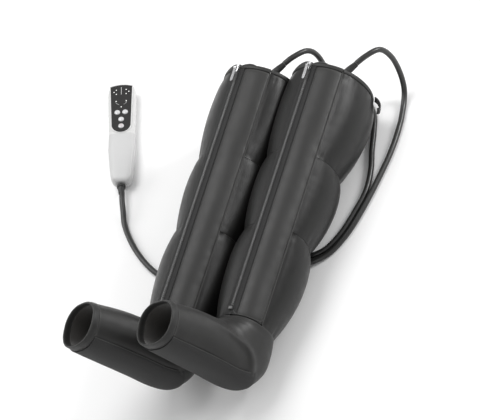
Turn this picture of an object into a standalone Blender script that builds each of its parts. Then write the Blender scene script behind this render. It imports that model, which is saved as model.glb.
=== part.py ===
"""Pair of compression boots with a hand controller, lying on a table.

Metres, +Z up. Both legs lie along +Y, heels towards -Y, side by side along X. Each boot is three
air chambers round a leg sleeve, a padded foot with an open toe end, and a front panel that a zip
closes and that opens about its far seam. Air hoses run from the hand controller to a splitter
under the legs and on to the rim of each boot.

Angles round a leg are measured from straight up, positive towards -X.
"""
import math

import bmesh
import bpy
from mathutils import Matrix, Vector

# Fits
GAP = 0.0003                    # between pieces that touch
SEW_GAP = 0.0006                # between two pads sewn edge to edge
WELD = 0.00001                  # points nearer than this are one
OVERRUN = 0.0010                # a cutter reaches this far past what it cuts

# Leg of a boot, along the leg from the rim down to the ankle
UPPER_LENGTH = 0.1395
MIDDLE_LENGTH = 0.115
LOWER_LENGTH = 0.1415
ANKLE_HEIGHT = 0.034            # ankle line above the heel's centre
RIM_RADIUS = 0.0585
ANKLE_RADIUS = 0.039
RIM_WALL = 0.0095
ANKLE_WALL = 0.0045
SLEEVE_WALL = 0.0012
UPPER_BULGE = 0.0185
MIDDLE_BULGE = 0.017
LOWER_BULGE = 0.0205
BULGE_ROUND = 1.25              # how sharply a bulge fades round the leg
CREST_SHARE = 0.41              # a chamber is fattest at this share of its length, from the top
CROWN_ROUND = 0.72              # how squarely a chamber swells along its length
LEG_STEPS = 20
CHAMBER_STEPS = 7
PRESS_SOFTNESS = 0.004          # depth over which a pressed pad bends before it lies flat

# How the legs lie
AXIS_HEIGHT_RIM = 0.0665
AXIS_HEIGHT_ANKLE = 0.0600
BOOT_SPACING = 0.1015
BOOT_STAGGER = 0.010            # the far boot lies this far towards the heels
FAR_BOOT_ROLL = math.radians(6)  # and this much more over on its side

# Front panel, zip and rim
ZIP_ANGLE = math.radians(10)
PANEL_WIDTH = 0.047             # along the skin, zip to seam
PANEL_STEPS = 4
HINGE_SLACK = 0.0010            # between panel and chambers along the seam
PANEL_END_GAP = 0.0018          # between the panel's lower end and the foot
TAPE_WIDTH = 0.0065
TAPE_THICKNESS = 0.0008
CHAIN_WIDTH = 0.0050
CHAIN_HEIGHT = 0.0016
ZIP_TOP_DROP = 0.001            # the chain ends this far below the rim
STOP_LENGTH = 0.0040
STOP_HEIGHT = 0.0026
BINDING_DEPTH = 0.007           # along the leg
BINDING_PROUD = 0.0010
ZIP_END_RISE = 0.0085           # the zip ends this far above the panel's lower end
SLIDER_LENGTH = 0.0130
SLIDER_WIDTH = 0.0050
SLIDER_HEIGHT = 0.0030
LUG_THICKNESS = 0.0007
LUG_RADIUS = 0.0014
PIN_RADIUS = 0.0005
TAB_LENGTH = 0.0225
TAB_WIDTH = 0.0044
TAB_THICKNESS = 0.0010
TAB_BARREL_WIDTH = 0.0028
TAB_BARREL_RADIUS = 0.0013
LOOP_ANGLE = math.radians(-112)
LOOP_WIDTH = 0.012
LOOP_SPAN = 0.018               # between its two ends when it hangs down outside
LOOP_RISE = 0.009               # the chamber lifts the lower end this far
LOOP_REACH = 0.007
LOOP_THICKNESS = 0.0016

# Foot, in the plane of leg and toes
FOOT_ANGLE = math.radians(24.2)
FOOT_LENGTH = 0.180             # heel to toe opening
FOOT_WIDTH = 0.072
FOOT_WALL = 0.0030
FOOT_RINGS = 13
FOOT_STEPS = 20
FOOT_SQUARENESS = 2.35          # 2 is a plain oval
TOE_BAND_SHARE = 0.93           # the band starts at this share of the way from ankle to toes
TOE_BAND_PROUD = 0.0008
SOLE_THICKNESS = 0.0014
SOLE_START_RING = 5
SOLE_HALF_STEPS = 3
# Heel and sole line, then instep line: places forward and up, as shares of FOOT_LENGTH
HEEL_LINE_SHARES = ((-0.216, 0.189), (-0.250, 0.070), (-0.245, -0.070), (-0.165, -0.205), (-0.030, -0.262),
                    (0.190, -0.295), (0.430, -0.335), (0.610, -0.365), (0.735, -0.385))
INSTEP_LINE_SHARES = ((0.216, 0.189), (0.245, 0.150), (0.275, 0.125), (0.320, 0.105), (0.380, 0.088),
                      (0.480, 0.065), (0.600, 0.030), (0.715, -0.010), (0.800, -0.040))
# Half widths along those lines, as shares of half of FOOT_WIDTH
WIDTH_SHARES = (1.083, 1.08, 1.08, 1.08, 1.08, 1.07, 1.04, 1.00, 0.97)

# Hand controller, in its own frame: X across, Y towards its top, Z out of its face
CONTROLLER_PLACE = (-0.3301, 0.3593)
CONTROLLER_TURN = math.radians(20.5)
CONTROLLER_ROLL = math.radians(14)
CASE_LENGTH = 0.1727
CASE_TOP_WIDTH = 0.0420
CASE_WAIST_WIDTH = 0.0372
CASE_GRIP_WIDTH = 0.0388
CASE_END_WIDTH = 0.0310
FRONT_DEPTH = 0.0120
REAR_DEPTH = 0.0140
CASE_WALL = 0.0018
CASE_SQUARENESS = 4.5
REAR_SQUARENESS = 2.3
CASE_END_POWER = 14             # how squarely the case ends
CASE_END_SHARE = 0.12           # how much of the end is cut off flat
CASE_ACROSS = 10
CASE_ALONG = 14
GRIP_LENGTH = 0.0847            # plain case below the face plate
PLATE_WIDTH = 0.0310
PLATE_WAIST = 0.0270
PLATE_THICKNESS = 0.0012
PLATE_TOP_DROP = 0.0030         # below the top of the case
BUTTON_WIDTH = 0.0082
BUTTON_FLANGE = 0.0100
BUTTON_FLANGE_DEPTH = 0.0010
BUTTON_PROUD = 0.0018           # above the face plate
BUTTON_TRAVEL = 0.0010
BUTTON_SPACING = 0.0112
TOP_ROW_RISE = 0.03535          # above the lower end of the face plate
SET_BUTTON_RISE = 0.02265
POWER_BUTTON_RISE = 0.01055
BUTTON_CLEARANCE = 0.0003
MAT_THICKNESS = 0.0012
BOARD_THICKNESS = 0.0016
BOARD_WIDTH = 0.0260
BOARD_DROP = 0.01435            # below the top of the case
BOARD_TO_PUMP = 0.0100
LIGHT_GUIDE_WIDTH = 0.0180
LIGHT_GUIDE_DROP = 0.00935
LIGHT_GUIDE_TO_BUTTON = 0.0043
BATTERY_WIDTH = 0.0240
BATTERY_THICKNESS = 0.0065
BATTERY_DROP = 0.02435
BATTERY_TO_PUMP = 0.0200
PUMP_RADIUS = 0.0085
PUMP_LENGTH = 0.0300
PUMP_RISE = 0.04835             # above the lower end of the case
VALVE_LENGTH = 0.0200
VALVE_WIDTH = 0.0180
VALVE_HEIGHT = 0.0120
VALVE_RISE = 0.02435
SOCKET_WIDTH = 0.0090
SOCKET_HEIGHT = 0.0034
SOCKET_LENGTH = 0.0070
SCREW_RADIUS = 0.0022
SCREW_INSET = 0.03135           # from both ends of the case

# Hoses
HOSE_DIAMETER = 0.0080
HOSE_POINT_SPACING = 0.0175
HOSE_ROUND_STEPS = 2
RELIEF_LENGTH = 0.018
RELIEF_BASE = 0.0104
RELIEF_ANGLE = math.radians(-42)
RELIEF_TILT = math.radians(35)  # towards +X
GLAND_LENGTH = 0.0140
GLAND_BASE = 0.0125
SPLITTER_LENGTH = 0.034
SPLITTER_INLET_WIDTH = 0.0120
SPLITTER_OUTLET_WIDTH = 0.0200
SPLITTER_HEIGHT = 0.0100
SPLITTER_PLACE = (-0.0540, 0.1725)
SPLITTER_TURN = math.radians(12)
TWIN_SPACING = 0.0086
# Where each free hose runs between its two ends
CONTROLLER_HOSE_ROUTE = ((-0.2841, 0.2362, 0.0097), (-0.2776, 0.2188, 0.0045), (-0.2592, 0.1945, 0.0043),
                         (-0.2356, 0.1709, 0.0043), (-0.2086, 0.1506, 0.0043), (-0.1850, 0.1400, 0.0043),
                         (-0.1640, 0.1385, 0.0043), (-0.1440, 0.1455, 0.0043), (-0.1250, 0.1570, 0.0043),
                         (-0.1050, 0.1650, 0.0043))
NEAR_HOSE_ROUTE = ((0.0120, 0.1810, 0.0043), (0.0320, 0.1880, 0.0043), (0.0500, 0.2035, 0.0043),
                   (0.0640, 0.2330, 0.0043), (0.0725, 0.2680, 0.0043), (0.0795, 0.3140, 0.0043),
                   (0.0850, 0.3700, 0.0043), (0.0840, 0.4150, 0.0043), (0.0790, 0.4490, 0.0045),
                   (0.0760, 0.4720, 0.0148), (0.0735, 0.4835, 0.0420), (0.0718, 0.4835, 0.0740),
                   (0.0659, 0.4750, 0.0980))
FAR_HOSE_ROUTE = ((0.0090, 0.1895, 0.0043), (0.0270, 0.1960, 0.0043), (0.0430, 0.2095, 0.0043),
                  (0.0558, 0.2360, 0.0043), (0.0640, 0.2700, 0.0043), (0.0690, 0.3050, 0.0043),
                  (0.0650, 0.3400, 0.0043), (0.0560, 0.3720, 0.0043), (0.0490, 0.4020, 0.0043),
                  (0.0400, 0.4300, 0.0043), (0.0220, 0.4520, 0.0043), (-0.0010, 0.4585, 0.0043),
                  (-0.0200, 0.4668, 0.0092), (-0.0330, 0.4728, 0.0320), (-0.0342, 0.4735, 0.0760),
                  (-0.0401, 0.4650, 0.1000))

COLLECTION = "compression_boots"
CUTTERS = "cutters"
UP = Vector((0, 0, 1))


def between(value, places, sizes):
    """Straight-line reading of a size at a value, from rising places and their sizes."""
    if value <= places[0]:
        return sizes[0]
    for low, high, first, last in zip(places, places[1:], sizes, sizes[1:]):
        if value <= high:
            return first + (last - first) * (value - low) / (high - low)
    return sizes[-1]


def curve_at(points, share):
    """The point at a share of the way along a smooth curve through the given points."""
    place = share * (len(points) - 1)
    leg = min(int(place), len(points) - 2)
    t = place - leg
    ends = [points[0] * 2 - points[1], *points, points[-1] * 2 - points[-2]]
    a, b, c, d = ends[leg:leg + 4]
    return (b * 2 + (c - a) * t + (a * 2 - b * 5 + c * 4 - d) * t ** 2 + (b * 3 - a - c * 3 + d) * t ** 3) / 2


def steps(count, first=0.0, last=1.0):
    """Even steps from first to last, both included."""
    return [first + (last - first) * step / count for step in range(count + 1)]


def pressed(value, limit):
    """A soft pad's reach where something flat holds it back: it bends over and then lies flat."""
    past = (value - limit) / PRESS_SOFTNESS
    if past <= -1:
        return value
    return limit - PRESS_SOFTNESS * max(0.0, 1 - past) ** 2 / 4


def swelling(share, round_power):
    """How far a pad swells at a share of the way across it, from 0 at its edges to 1."""
    return max(0.0, math.sin(math.pi * min(max(share, 0.0), 1.0))) ** round_power


def finish_object(found, look, collection=COLLECTION):
    """Links an object, gives it its material and smooths its round faces."""
    bpy.data.collections[collection].objects.link(found)
    if look:
        found.data.materials.append(look)
        found.data.shade_smooth()
        found.data.set_sharp_from_angle(angle=math.radians(35))
    else:
        found.hide_render = True
        found.display_type = "WIRE"
    return found


def mesh_object(name, bm, look, origin=(0, 0, 0), closed=True):
    """Turns a bmesh whose points are in the world into an object with its origin at origin."""
    if closed:
        bmesh.ops.recalc_face_normals(bm, faces=bm.faces)
    mesh = bpy.data.meshes.new(name)
    bm.to_mesh(mesh)
    bm.free()
    mesh.transform(Matrix.Translation(-Vector(origin)))
    found = bpy.data.objects.new(name, mesh)
    found.location = origin
    return finish_object(found, look, COLLECTION if look else CUTTERS)


def sheet(bm, point, us, vs):
    """Adds a grid of faces whose corners are point(u, v)."""
    grid = bmesh.ops.create_grid(bm, x_segments=len(us) - 1, y_segments=len(vs) - 1, size=1)
    for vert in grid["verts"]:
        across = round((vert.co.x + 1) / 2 * (len(us) - 1))
        along = round((vert.co.y + 1) / 2 * (len(vs) - 1))
        vert.co = point(us[across], vs[along])


def pad(name, outer, inner, us, vs, look, origin=(0, 0, 0)):
    """A closed pad between an outer and an inner face over the same grid."""
    bm = bmesh.new()
    sheet(bm, outer, us, vs)
    sheet(bm, inner, us, vs)
    for v in (vs[0], vs[-1]):
        sheet(bm, lambda u, share: outer(u, v).lerp(inner(u, v), share), us, (0, 1))
    for u in (us[0], us[-1]):
        sheet(bm, lambda share, v: outer(u, v).lerp(inner(u, v), share), (0, 1), vs)
    bmesh.ops.remove_doubles(bm, verts=bm.verts, dist=WELD)
    return mesh_object(name, bm, look, origin)


def shell(name, outer, us, vs, wall, look, outward=False):
    """A shell of even wall on an open sheet; where the sheet meets itself it is joined."""
    bm = bmesh.new()
    sheet(bm, outer, us, vs)
    bmesh.ops.remove_doubles(bm, verts=bm.verts, dist=WELD)
    found = mesh_object(name, bm, look, closed=False)
    solid = found.modifiers.new("wall", "SOLIDIFY")
    solid.thickness = wall
    solid.offset = 1 if outward else -1
    return found


def turned(name, profile, look, matrix, sides=20):
    """A body turned about its own Z from a profile of (radius, height), top to bottom."""
    bm = bmesh.new()
    verts = [bm.verts.new((radius, 0, height)) for radius, height in profile]
    for first, last in zip(verts, verts[1:]):
        bm.edges.new((first, last))
    mesh = bpy.data.meshes.new(name)
    bm.to_mesh(mesh)
    bm.free()
    found = bpy.data.objects.new(name, mesh)
    found.matrix_world = matrix
    screw = found.modifiers.new("turn", "SCREW")
    screw.steps = screw.render_steps = sides
    screw.use_merge_vertices = True
    screw.merge_threshold = WELD
    return finish_object(found, look, COLLECTION if look else CUTTERS)


def flat_plate(name, outlines, thickness, look, matrix):
    """A plate cut from closed outlines, the later ones holes in the first, centred on z = 0."""
    curve = bpy.data.curves.new(name, "CURVE")
    curve.dimensions = "2D"
    curve.fill_mode = "BOTH"
    curve.extrude = thickness / 2
    for outline in outlines:
        spline = curve.splines.new("POLY")
        spline.points.add(len(outline) - 1)
        for target, (x, y) in zip(spline.points, outline):
            target.co = (x, y, 0, 1)
        spline.use_cyclic_u = True
    drawn = bpy.data.objects.new(name + "_outline", curve)
    bpy.context.scene.collection.objects.link(drawn)
    depsgraph = bpy.context.evaluated_depsgraph_get()
    mesh = bpy.data.meshes.new_from_object(drawn.evaluated_get(depsgraph))
    bpy.data.objects.remove(drawn)
    bm = bmesh.new()
    bm.from_mesh(mesh)
    bmesh.ops.remove_doubles(bm, verts=bm.verts, dist=WELD)
    bmesh.ops.recalc_face_normals(bm, faces=bm.faces)
    bm.to_mesh(mesh)
    bm.free()
    mesh.name = name
    found = bpy.data.objects.new(name, mesh)
    found.matrix_world = matrix
    return finish_object(found, look, COLLECTION if look else CUTTERS)


def rounded_box(name, size, corner, look, matrix, segments=2):
    """A box with rounded edges, centred on its matrix."""
    bm = bmesh.new()
    bmesh.ops.create_cube(bm, size=1, matrix=Matrix.Diagonal((*size, 1)))
    mesh = bpy.data.meshes.new(name)
    bm.to_mesh(mesh)
    bm.free()
    found = bpy.data.objects.new(name, mesh)
    found.matrix_world = matrix
    if corner:
        bevel = found.modifiers.new("corner", "BEVEL")
        bevel.width = corner
        bevel.segments = segments
        bevel.limit_method = "NONE"
    return finish_object(found, look, COLLECTION if look else CUTTERS)


def circle_points(centre, radius, count=16):
    """Points round a circle in the plane."""
    turns = [2 * math.pi * step / count for step in range(count)]
    return [(centre[0] + radius * math.cos(turn), centre[1] + radius * math.sin(turn)) for turn in turns]


def cut(found, cutter):
    """Cuts a piece with a cutter."""
    tool = found.modifiers.new("cut_" + cutter.name, "BOOLEAN")
    tool.operation = "DIFFERENCE"
    tool.object = cutter
    tool.solver = "EXACT"


def join(found, other):
    """Joins a second body, kept as a guide, to a piece."""
    tool = found.modifiers.new("join_" + other.name, "BOOLEAN")
    tool.operation = "UNION"
    tool.object = other
    tool.solver = "EXACT"


def frame_along(origin, along, out):
    """A matrix at origin with +Y along a direction and +Z as near to out as that allows."""
    along = along.normalized()
    across = along.cross(out).normalized()
    out = across.cross(along)
    matrix = Matrix((across, along, out)).transposed().to_4x4()
    matrix.translation = origin
    return matrix


class Boot:
    """One boot: where it lies, how its surfaces run and how its pieces are made."""

    def __init__(self, name, place, roll=0.0, left_limit=None, right_limit=None):
        self.name = name
        self.place = Vector(place)
        self.roll = roll
        self.left_limit = left_limit
        self.right_limit = right_limit
        self.ankle = ANKLE_HEIGHT
        self.lower_notch = self.ankle + LOWER_LENGTH
        self.upper_notch = self.lower_notch + MIDDLE_LENGTH
        self.rim = self.upper_notch + UPPER_LENGTH
        self.heel_line = [Vector((*place, 0)) * FOOT_LENGTH for place in HEEL_LINE_SHARES]
        self.instep_line = [Vector((*place, 0)) * FOOT_LENGTH for place in INSTEP_LINE_SHARES]
        self.widths = [Vector((share, 0, 0)) * FOOT_WIDTH / 2 for share in WIDTH_SHARES]

    def skin(self, y):
        """Radius of the cover between its bulges."""
        return between(y, (self.ankle, self.rim), (ANKLE_RADIUS, RIM_RADIUS))

    def sleeve(self, y):
        """Outer radius of the inner sleeve."""
        return self.skin(y) - between(y, (self.ankle, self.rim), (ANKLE_WALL, RIM_WALL))

    def axis(self, y):
        """Height of the leg's middle above the table."""
        return between(y, (self.ankle, self.rim), (AXIS_HEIGHT_ANKLE, AXIS_HEIGHT_RIM))

    def seam_angle(self, y):
        return ZIP_ANGLE - PANEL_WIDTH / self.skin(y)

    def at(self, angle, radius, y):
        """The point at an angle and a radius round the leg."""
        angle = angle + self.roll
        return self.place + Vector((-radius * math.sin(angle), y, self.axis(y) + radius * math.cos(angle)))

    def held(self, point):
        """A point of a soft pad, held back by the table and by the other boot."""
        local = point - self.place
        if self.right_limit is not None:
            local.x = pressed(local.x, self.right_limit)
        if self.left_limit is not None:
            local.x = -pressed(-local.x, self.left_limit)
        local.z = -pressed(-local.z, 0)
        return self.place + local

    def round_angle(self, u, y):
        """Angle at share u of the way from the seam, round the back, to the zip."""
        first = self.seam_angle(y) - HINGE_SLACK / self.skin(y)
        last = ZIP_ANGLE + GAP / self.skin(y) - 2 * math.pi
        return first + (last - first) * u

    def off_zip(self, distance, y):
        """Angle of a line beside the zip, at a distance from its middle along the skin."""
        return ZIP_ANGLE + distance / self.skin(y)

    def chamber(self, label, low, high, bulge, look):
        """An air chamber: a pad round the leg, swollen between its sewn edges."""
        low, high = low + SEW_GAP / 2, high - SEW_GAP / 2
        crest_power = math.log(0.5) / math.log(CREST_SHARE)
        edge = (CHAIN_WIDTH / 2 + TAPE_WIDTH) / (2 * math.pi * self.skin(high) - PANEL_WIDTH)

        def outer(u, y):
            down = ((high - y) / (high - low)) ** crest_power
            swell = bulge * swelling((u - edge / 2) / (1 - edge * 3 / 2), BULGE_ROUND) * swelling(down, CROWN_ROUND)
            return self.held(self.at(self.round_angle(u, y), self.skin(y) + swell, y))

        def inner(u, y):
            return self.at(self.round_angle(u, y), self.sleeve(y) + GAP, y)

        rows = [high - (high - low) * (1 - math.cos(math.pi * share)) / 2 for share in steps(CHAMBER_STEPS)]
        pad(f"{self.name}_{label}_chamber", outer, inner, steps(LEG_STEPS), sorted(rows), look)

    def inner_sleeve(self, look):
        """The thin sleeve inside the chambers, open at the front where the panel closes it."""
        low, high = self.ankle + SEW_GAP / 2, self.rim - BINDING_DEPTH - SEW_GAP

        def outer(u, y):
            return self.at(self.round_angle(u, y), self.sleeve(y), y)

        def inner(u, y):
            return self.at(self.round_angle(u, y), self.sleeve(y) - SLEEVE_WALL, y)

        ends = (low, self.lower_notch, self.upper_notch, high)
        rows = sorted({*ends, *[(a + b) / 2 for a, b in zip(ends, ends[1:])]})
        pad(f"{self.name}_leg_sleeve", outer, inner, steps(LEG_STEPS), rows, look)

    def panel_edges(self, y):
        """Angles of the panel's zip edge and seam edge."""
        return self.off_zip(-CHAIN_WIDTH / 2 - GAP, y), self.seam_angle(y)

    def panel_piece(self, label, low, high, proud, look):
        """A piece that spans the front between zip and seam, and swings about the seam."""

        def angle(u, y):
            first, last = self.panel_edges(y)
            return first + (last - first) * u

        def outer(u, y):
            return self.at(angle(u, y), self.skin(y) + proud, y)

        def inner(u, y):
            return self.at(angle(u, y), self.sleeve(y) - SLEEVE_WALL, y)

        rows = steps(2, low, high)
        pad(f"{self.name}_{label}", outer, inner, steps(PANEL_STEPS), rows, look, self.hinge_point())

    def hinge_point(self):
        """The lower end of the panel's seam, which its hinge line passes through."""
        y = self.ankle + PANEL_END_GAP
        return self.at(self.seam_angle(y), self.skin(y), y)

    def rim_binding(self, look):
        """The bound rim on the fixed part of the boot."""
        low, high = self.rim - BINDING_DEPTH, self.rim

        def outer(u, y):
            return self.held(self.at(self.round_angle(u, y), self.skin(self.rim) + BINDING_PROUD, y))

        def inner(u, y):
            return self.at(self.round_angle(u, y), self.sleeve(self.rim) - SLEEVE_WALL, y)

        pad(f"{self.name}_rim_binding", outer, inner, steps(LEG_STEPS), (low, high), look)

    def strip(self, label, first, last, low, high, base, thickness, look, origin=(0, 0, 0)):
        """A flat strip along the zip, between two distances from its middle."""

        def outer(u, y):
            return self.at(self.off_zip(first + (last - first) * u, y), self.skin(y) + base + thickness, y)

        def inner(u, y):
            return self.at(self.off_zip(first + (last - first) * u, y), self.skin(y) + base, y)

        pad(f"{self.name}_{label}", outer, inner, steps(2), (low, high), look, origin)

    def zip_frame(self, y, rise):
        """A frame on the zip line at y, lifted off the skin, +Y towards the rim."""
        start = self.at(ZIP_ANGLE, self.skin(self.ankle) + rise, self.ankle)
        end = self.at(ZIP_ANGLE, self.skin(self.rim) + rise, self.rim)
        share = (y - self.ankle) / (self.rim - self.ankle)
        out = Vector((-math.sin(ZIP_ANGLE + self.roll), 0, math.cos(ZIP_ANGLE + self.roll)))
        return frame_along(start.lerp(end, share), end - start, out)

    def zip_pieces(self, looks):
        """Both tapes, the chain, its end stop, the slider and its pull tab."""
        low = self.ankle + PANEL_END_GAP
        high = self.rim - BINDING_DEPTH - SEW_GAP
        inner_edge, outer_edge = CHAIN_WIDTH / 2, CHAIN_WIDTH / 2 + TAPE_WIDTH
        self.strip("body_zip_tape", -inner_edge, outer_edge, low, high, GAP, TAPE_THICKNESS, looks["tape"])
        self.strip("panel_zip_tape", -inner_edge - GAP - TAPE_WIDTH, -inner_edge - GAP, low, high, GAP,
                   TAPE_THICKNESS, looks["tape"], self.hinge_point())
        chain_base = GAP + TAPE_THICKNESS + GAP
        stop_start = low + ZIP_END_RISE
        stop_end = stop_start + STOP_LENGTH
        self.strip("zip_chain", -inner_edge, inner_edge, stop_end + GAP, self.rim - ZIP_TOP_DROP,
                   chain_base, CHAIN_HEIGHT, looks["chain"])
        self.strip("zip_stop", -inner_edge, inner_edge, stop_start, stop_end, chain_base, STOP_HEIGHT, looks["metal"])
        slider_base = chain_base + CHAIN_HEIGHT + GAP
        self.slider_and_tab(slider_base, looks)

    def slider_and_tab(self, base, looks):
        """The slider at the closed end of the chain, and its pull tab lying back along the zip."""
        middle = self.rim - ZIP_TOP_DROP - SLIDER_LENGTH / 2
        frame = self.zip_frame(middle, base + SLIDER_HEIGHT / 2)
        size = (SLIDER_WIDTH, SLIDER_LENGTH, SLIDER_HEIGHT)
        slider = rounded_box(f"{self.name}_zip_slider", size, SLIDER_HEIGHT / 4, looks["metal"], frame)
        pin = frame @ Matrix.Translation((0, 0, SLIDER_HEIGHT / 2 + GAP + TAB_BARREL_RADIUS))
        across = pin @ Matrix.Rotation(math.pi / 2, 4, "Y")
        for side in (-1, 1):
            off = side * (TAB_BARREL_WIDTH / 2 + GAP + LUG_THICKNESS / 2)
            depth = GAP + TAB_BARREL_RADIUS + SLIDER_HEIGHT / 4
            turns = steps(6, -math.pi / 2, math.pi / 2)
            outline = [(-LUG_RADIUS * math.cos(turn), LUG_RADIUS * math.sin(turn)) for turn in turns]
            outline += [(depth, LUG_RADIUS), (depth, -LUG_RADIUS)]
            join(slider, flat_plate(f"{self.name}_lug_{side}", [outline], LUG_THICKNESS, None,
                                    across @ Matrix.Translation((0, 0, off))))
        reach = TAB_BARREL_WIDTH + (GAP + LUG_THICKNESS) * 2 - LUG_THICKNESS / 2
        join(slider, flat_plate(f"{self.name}_pin", [circle_points((0, 0), PIN_RADIUS, 10)], reach, None, across))
        self.pull_tab(pin, across, looks)

    def pull_tab(self, pin, across, looks):
        """A flat tab whose barrel turns on the slider's pin."""
        ring = circle_points((0, 0), TAB_BARREL_RADIUS, 14)
        bore = circle_points((0, 0), PIN_RADIUS + GAP, 10)
        barrel = flat_plate(f"{self.name}_barrel", [ring, bore], TAB_BARREL_WIDTH, None, across)
        neck, half = TAB_BARREL_WIDTH / 2, TAB_WIDTH / 2
        start, wide = -TAB_BARREL_RADIUS * 2 / 3, -LUG_RADIUS - GAP * 2
        turns = steps(6, 0, math.pi)
        foot = [(-half * math.cos(turn), -TAB_LENGTH + half - half * math.sin(turn)) for turn in turns]
        outline = [(neck, start), (-neck, start), (-neck, wide), (-half, wide), *foot, (half, wide), (neck, wide)]
        join(flat_plate(f"{self.name}_pull_tab", [outline], TAB_THICKNESS, looks["metal"], pin), barrel)

    def hang_loop(self, look):
        """The fabric loop sewn to the back of the rim: it hangs outside, or stands where boots touch."""
        skin, sleeve = self.skin(self.rim) + BINDING_PROUD, self.sleeve(self.rim) - SLEEVE_WALL
        if self.right_limit is None:
            top = Vector((skin + GAP, self.rim - GAP))
            feet = top, top + Vector((LOOP_RISE, -LOOP_SPAN))
            out = Vector((LOOP_REACH, 0))
        else:
            feet = Vector((sleeve, self.rim + GAP)), Vector((self.right_limit, self.rim + GAP))
            out = Vector((0, LOOP_REACH + LOOP_RISE))

        def arch(u, share, inset):
            turn = math.pi * u
            middle, half = (feet[0] + feet[1]) / 2, (feet[0] - feet[1]) / 2
            half = half * (1 - inset / half.length)
            place = middle + half * math.cos(turn) + out * (1 - inset / out.length) * math.sin(turn)
            return self.at(LOOP_ANGLE + (share - 0.5) * LOOP_WIDTH / skin, place.x, place.y)

        thickness = min(LOOP_THICKNESS, (feet[0] - feet[1]).length / 4)

        def outer(u, share):
            return arch(u, share, 0)

        def inner(u, share):
            return arch(u, share, thickness)

        pad(f"{self.name}_hang_loop", outer, inner, steps(10), steps(2), look)

    def foot_point(self, turn, v, proud=0.0):
        """A point of the foot's skin: turn round from the instep, share v from ankle to toes."""
        heel, instep = curve_at(self.heel_line, v), curve_at(self.instep_line, v)
        width = curve_at(self.widths, v).x + proud
        middle, half = (heel + instep) / 2, (instep - heel) / 2
        half = half * (1 + proud / half.length)
        power = 2 / FOOT_SQUARENESS
        up = math.copysign(abs(math.cos(turn)) ** power, math.cos(turn))
        side = math.copysign(abs(math.sin(turn)) ** power, math.sin(turn))
        place = middle + half * up
        angle = FOOT_ANGLE + self.roll
        forward = Vector((-math.sin(angle), 0, math.cos(angle)))
        left = Vector((-math.cos(angle), 0, -math.sin(angle)))
        base = self.place + Vector((0, place.y, self.axis(self.ankle)))
        return base + forward * place.x + left * width * side

    def foot_pieces(self, looks):
        """The padded foot, its sole skin and the band round the toe opening."""
        turns = steps(FOOT_STEPS, 0, 2 * math.pi)
        rows = [share * TOE_BAND_SHARE for share in steps(FOOT_RINGS)]
        shell(f"{self.name}_foot_upper", self.foot_point, turns, rows, FOOT_WALL, looks["cover"])
        band_rows = (TOE_BAND_SHARE + SEW_GAP / FOOT_LENGTH, 1.0)

        def band(turn, v):
            return self.foot_point(turn, v, TOE_BAND_PROUD)

        shell(f"{self.name}_toe_band", band, turns, band_rows, FOOT_WALL + TOE_BAND_PROUD, looks["binding"])

        def sole(turn, v):
            return self.foot_point(turn, v, GAP)

        middle = FOOT_STEPS // 2
        sole_turns = turns[middle - SOLE_HALF_STEPS:middle + SOLE_HALF_STEPS + 1]
        shell(f"{self.name}_sole_skin", sole, sole_turns, rows[SOLE_START_RING:], SOLE_THICKNESS,
              looks["sole"], outward=True)

    def relief_frame(self):
        """A frame on the rim where the hose leaves, +Z out of the leg and leaning to +X."""
        radius = (self.skin(self.rim) + self.sleeve(self.rim)) / 2
        origin = self.at(RELIEF_ANGLE, radius, self.rim + GAP)
        lean = Matrix.Rotation(-RELIEF_TILT, 4, "Z")
        return Matrix.Translation(origin) @ lean @ Matrix.Rotation(-math.pi / 2, 4, "X")

    def hose_relief(self, look):
        """The ribbed rubber sleeve that the hose comes out of, cut off flat on the rim."""
        base, tip = RELIEF_BASE / 2, HOSE_DIAMETER / 2
        rib, grooves = (base - tip) / 2, 4
        profile = [(0, RELIEF_LENGTH), (tip, RELIEF_LENGTH)]
        for ring in range(grooves):
            share = (ring + 1) / (grooves + 1)
            radius = tip + (base - tip) * share
            height = RELIEF_LENGTH * (1 - share * 2 / 3)
            groove = RELIEF_LENGTH / 40
            profile += [(radius, height + groove), (radius - rib, height), (radius, height - groove)]
        profile += [(base, -RELIEF_BASE), (0, -RELIEF_BASE)]
        relief = turned(f"{self.name}_hose_relief", profile, look, self.relief_frame(), 14)
        depth = RELIEF_BASE * 4
        middle = self.relief_frame().translation - Vector((0, depth / 2, 0))
        size = (depth, depth, depth)
        cut(relief, rounded_box(f"{self.name}_relief_cutter", size, 0, None, Matrix.Translation(middle)))

    def build(self, looks):
        """Makes every piece of this boot."""
        top = self.rim - BINDING_DEPTH - SEW_GAP
        self.chamber("upper", self.upper_notch, top + SEW_GAP / 2, UPPER_BULGE, looks["cover"])
        self.chamber("middle", self.lower_notch, self.upper_notch, MIDDLE_BULGE, looks["cover"])
        self.chamber("lower", self.ankle, self.lower_notch, LOWER_BULGE, looks["cover"])
        self.inner_sleeve(looks["lining"])
        self.panel_piece("front_panel", self.ankle + PANEL_END_GAP, top, 0, looks["panel"])
        self.panel_piece("panel_binding", self.rim - BINDING_DEPTH, self.rim, BINDING_PROUD, looks["binding"])
        self.rim_binding(looks["binding"])
        self.zip_pieces(looks)
        self.hang_loop(looks["binding"])
        self.foot_pieces(looks)
        self.hose_relief(looks["rubber"])


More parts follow.
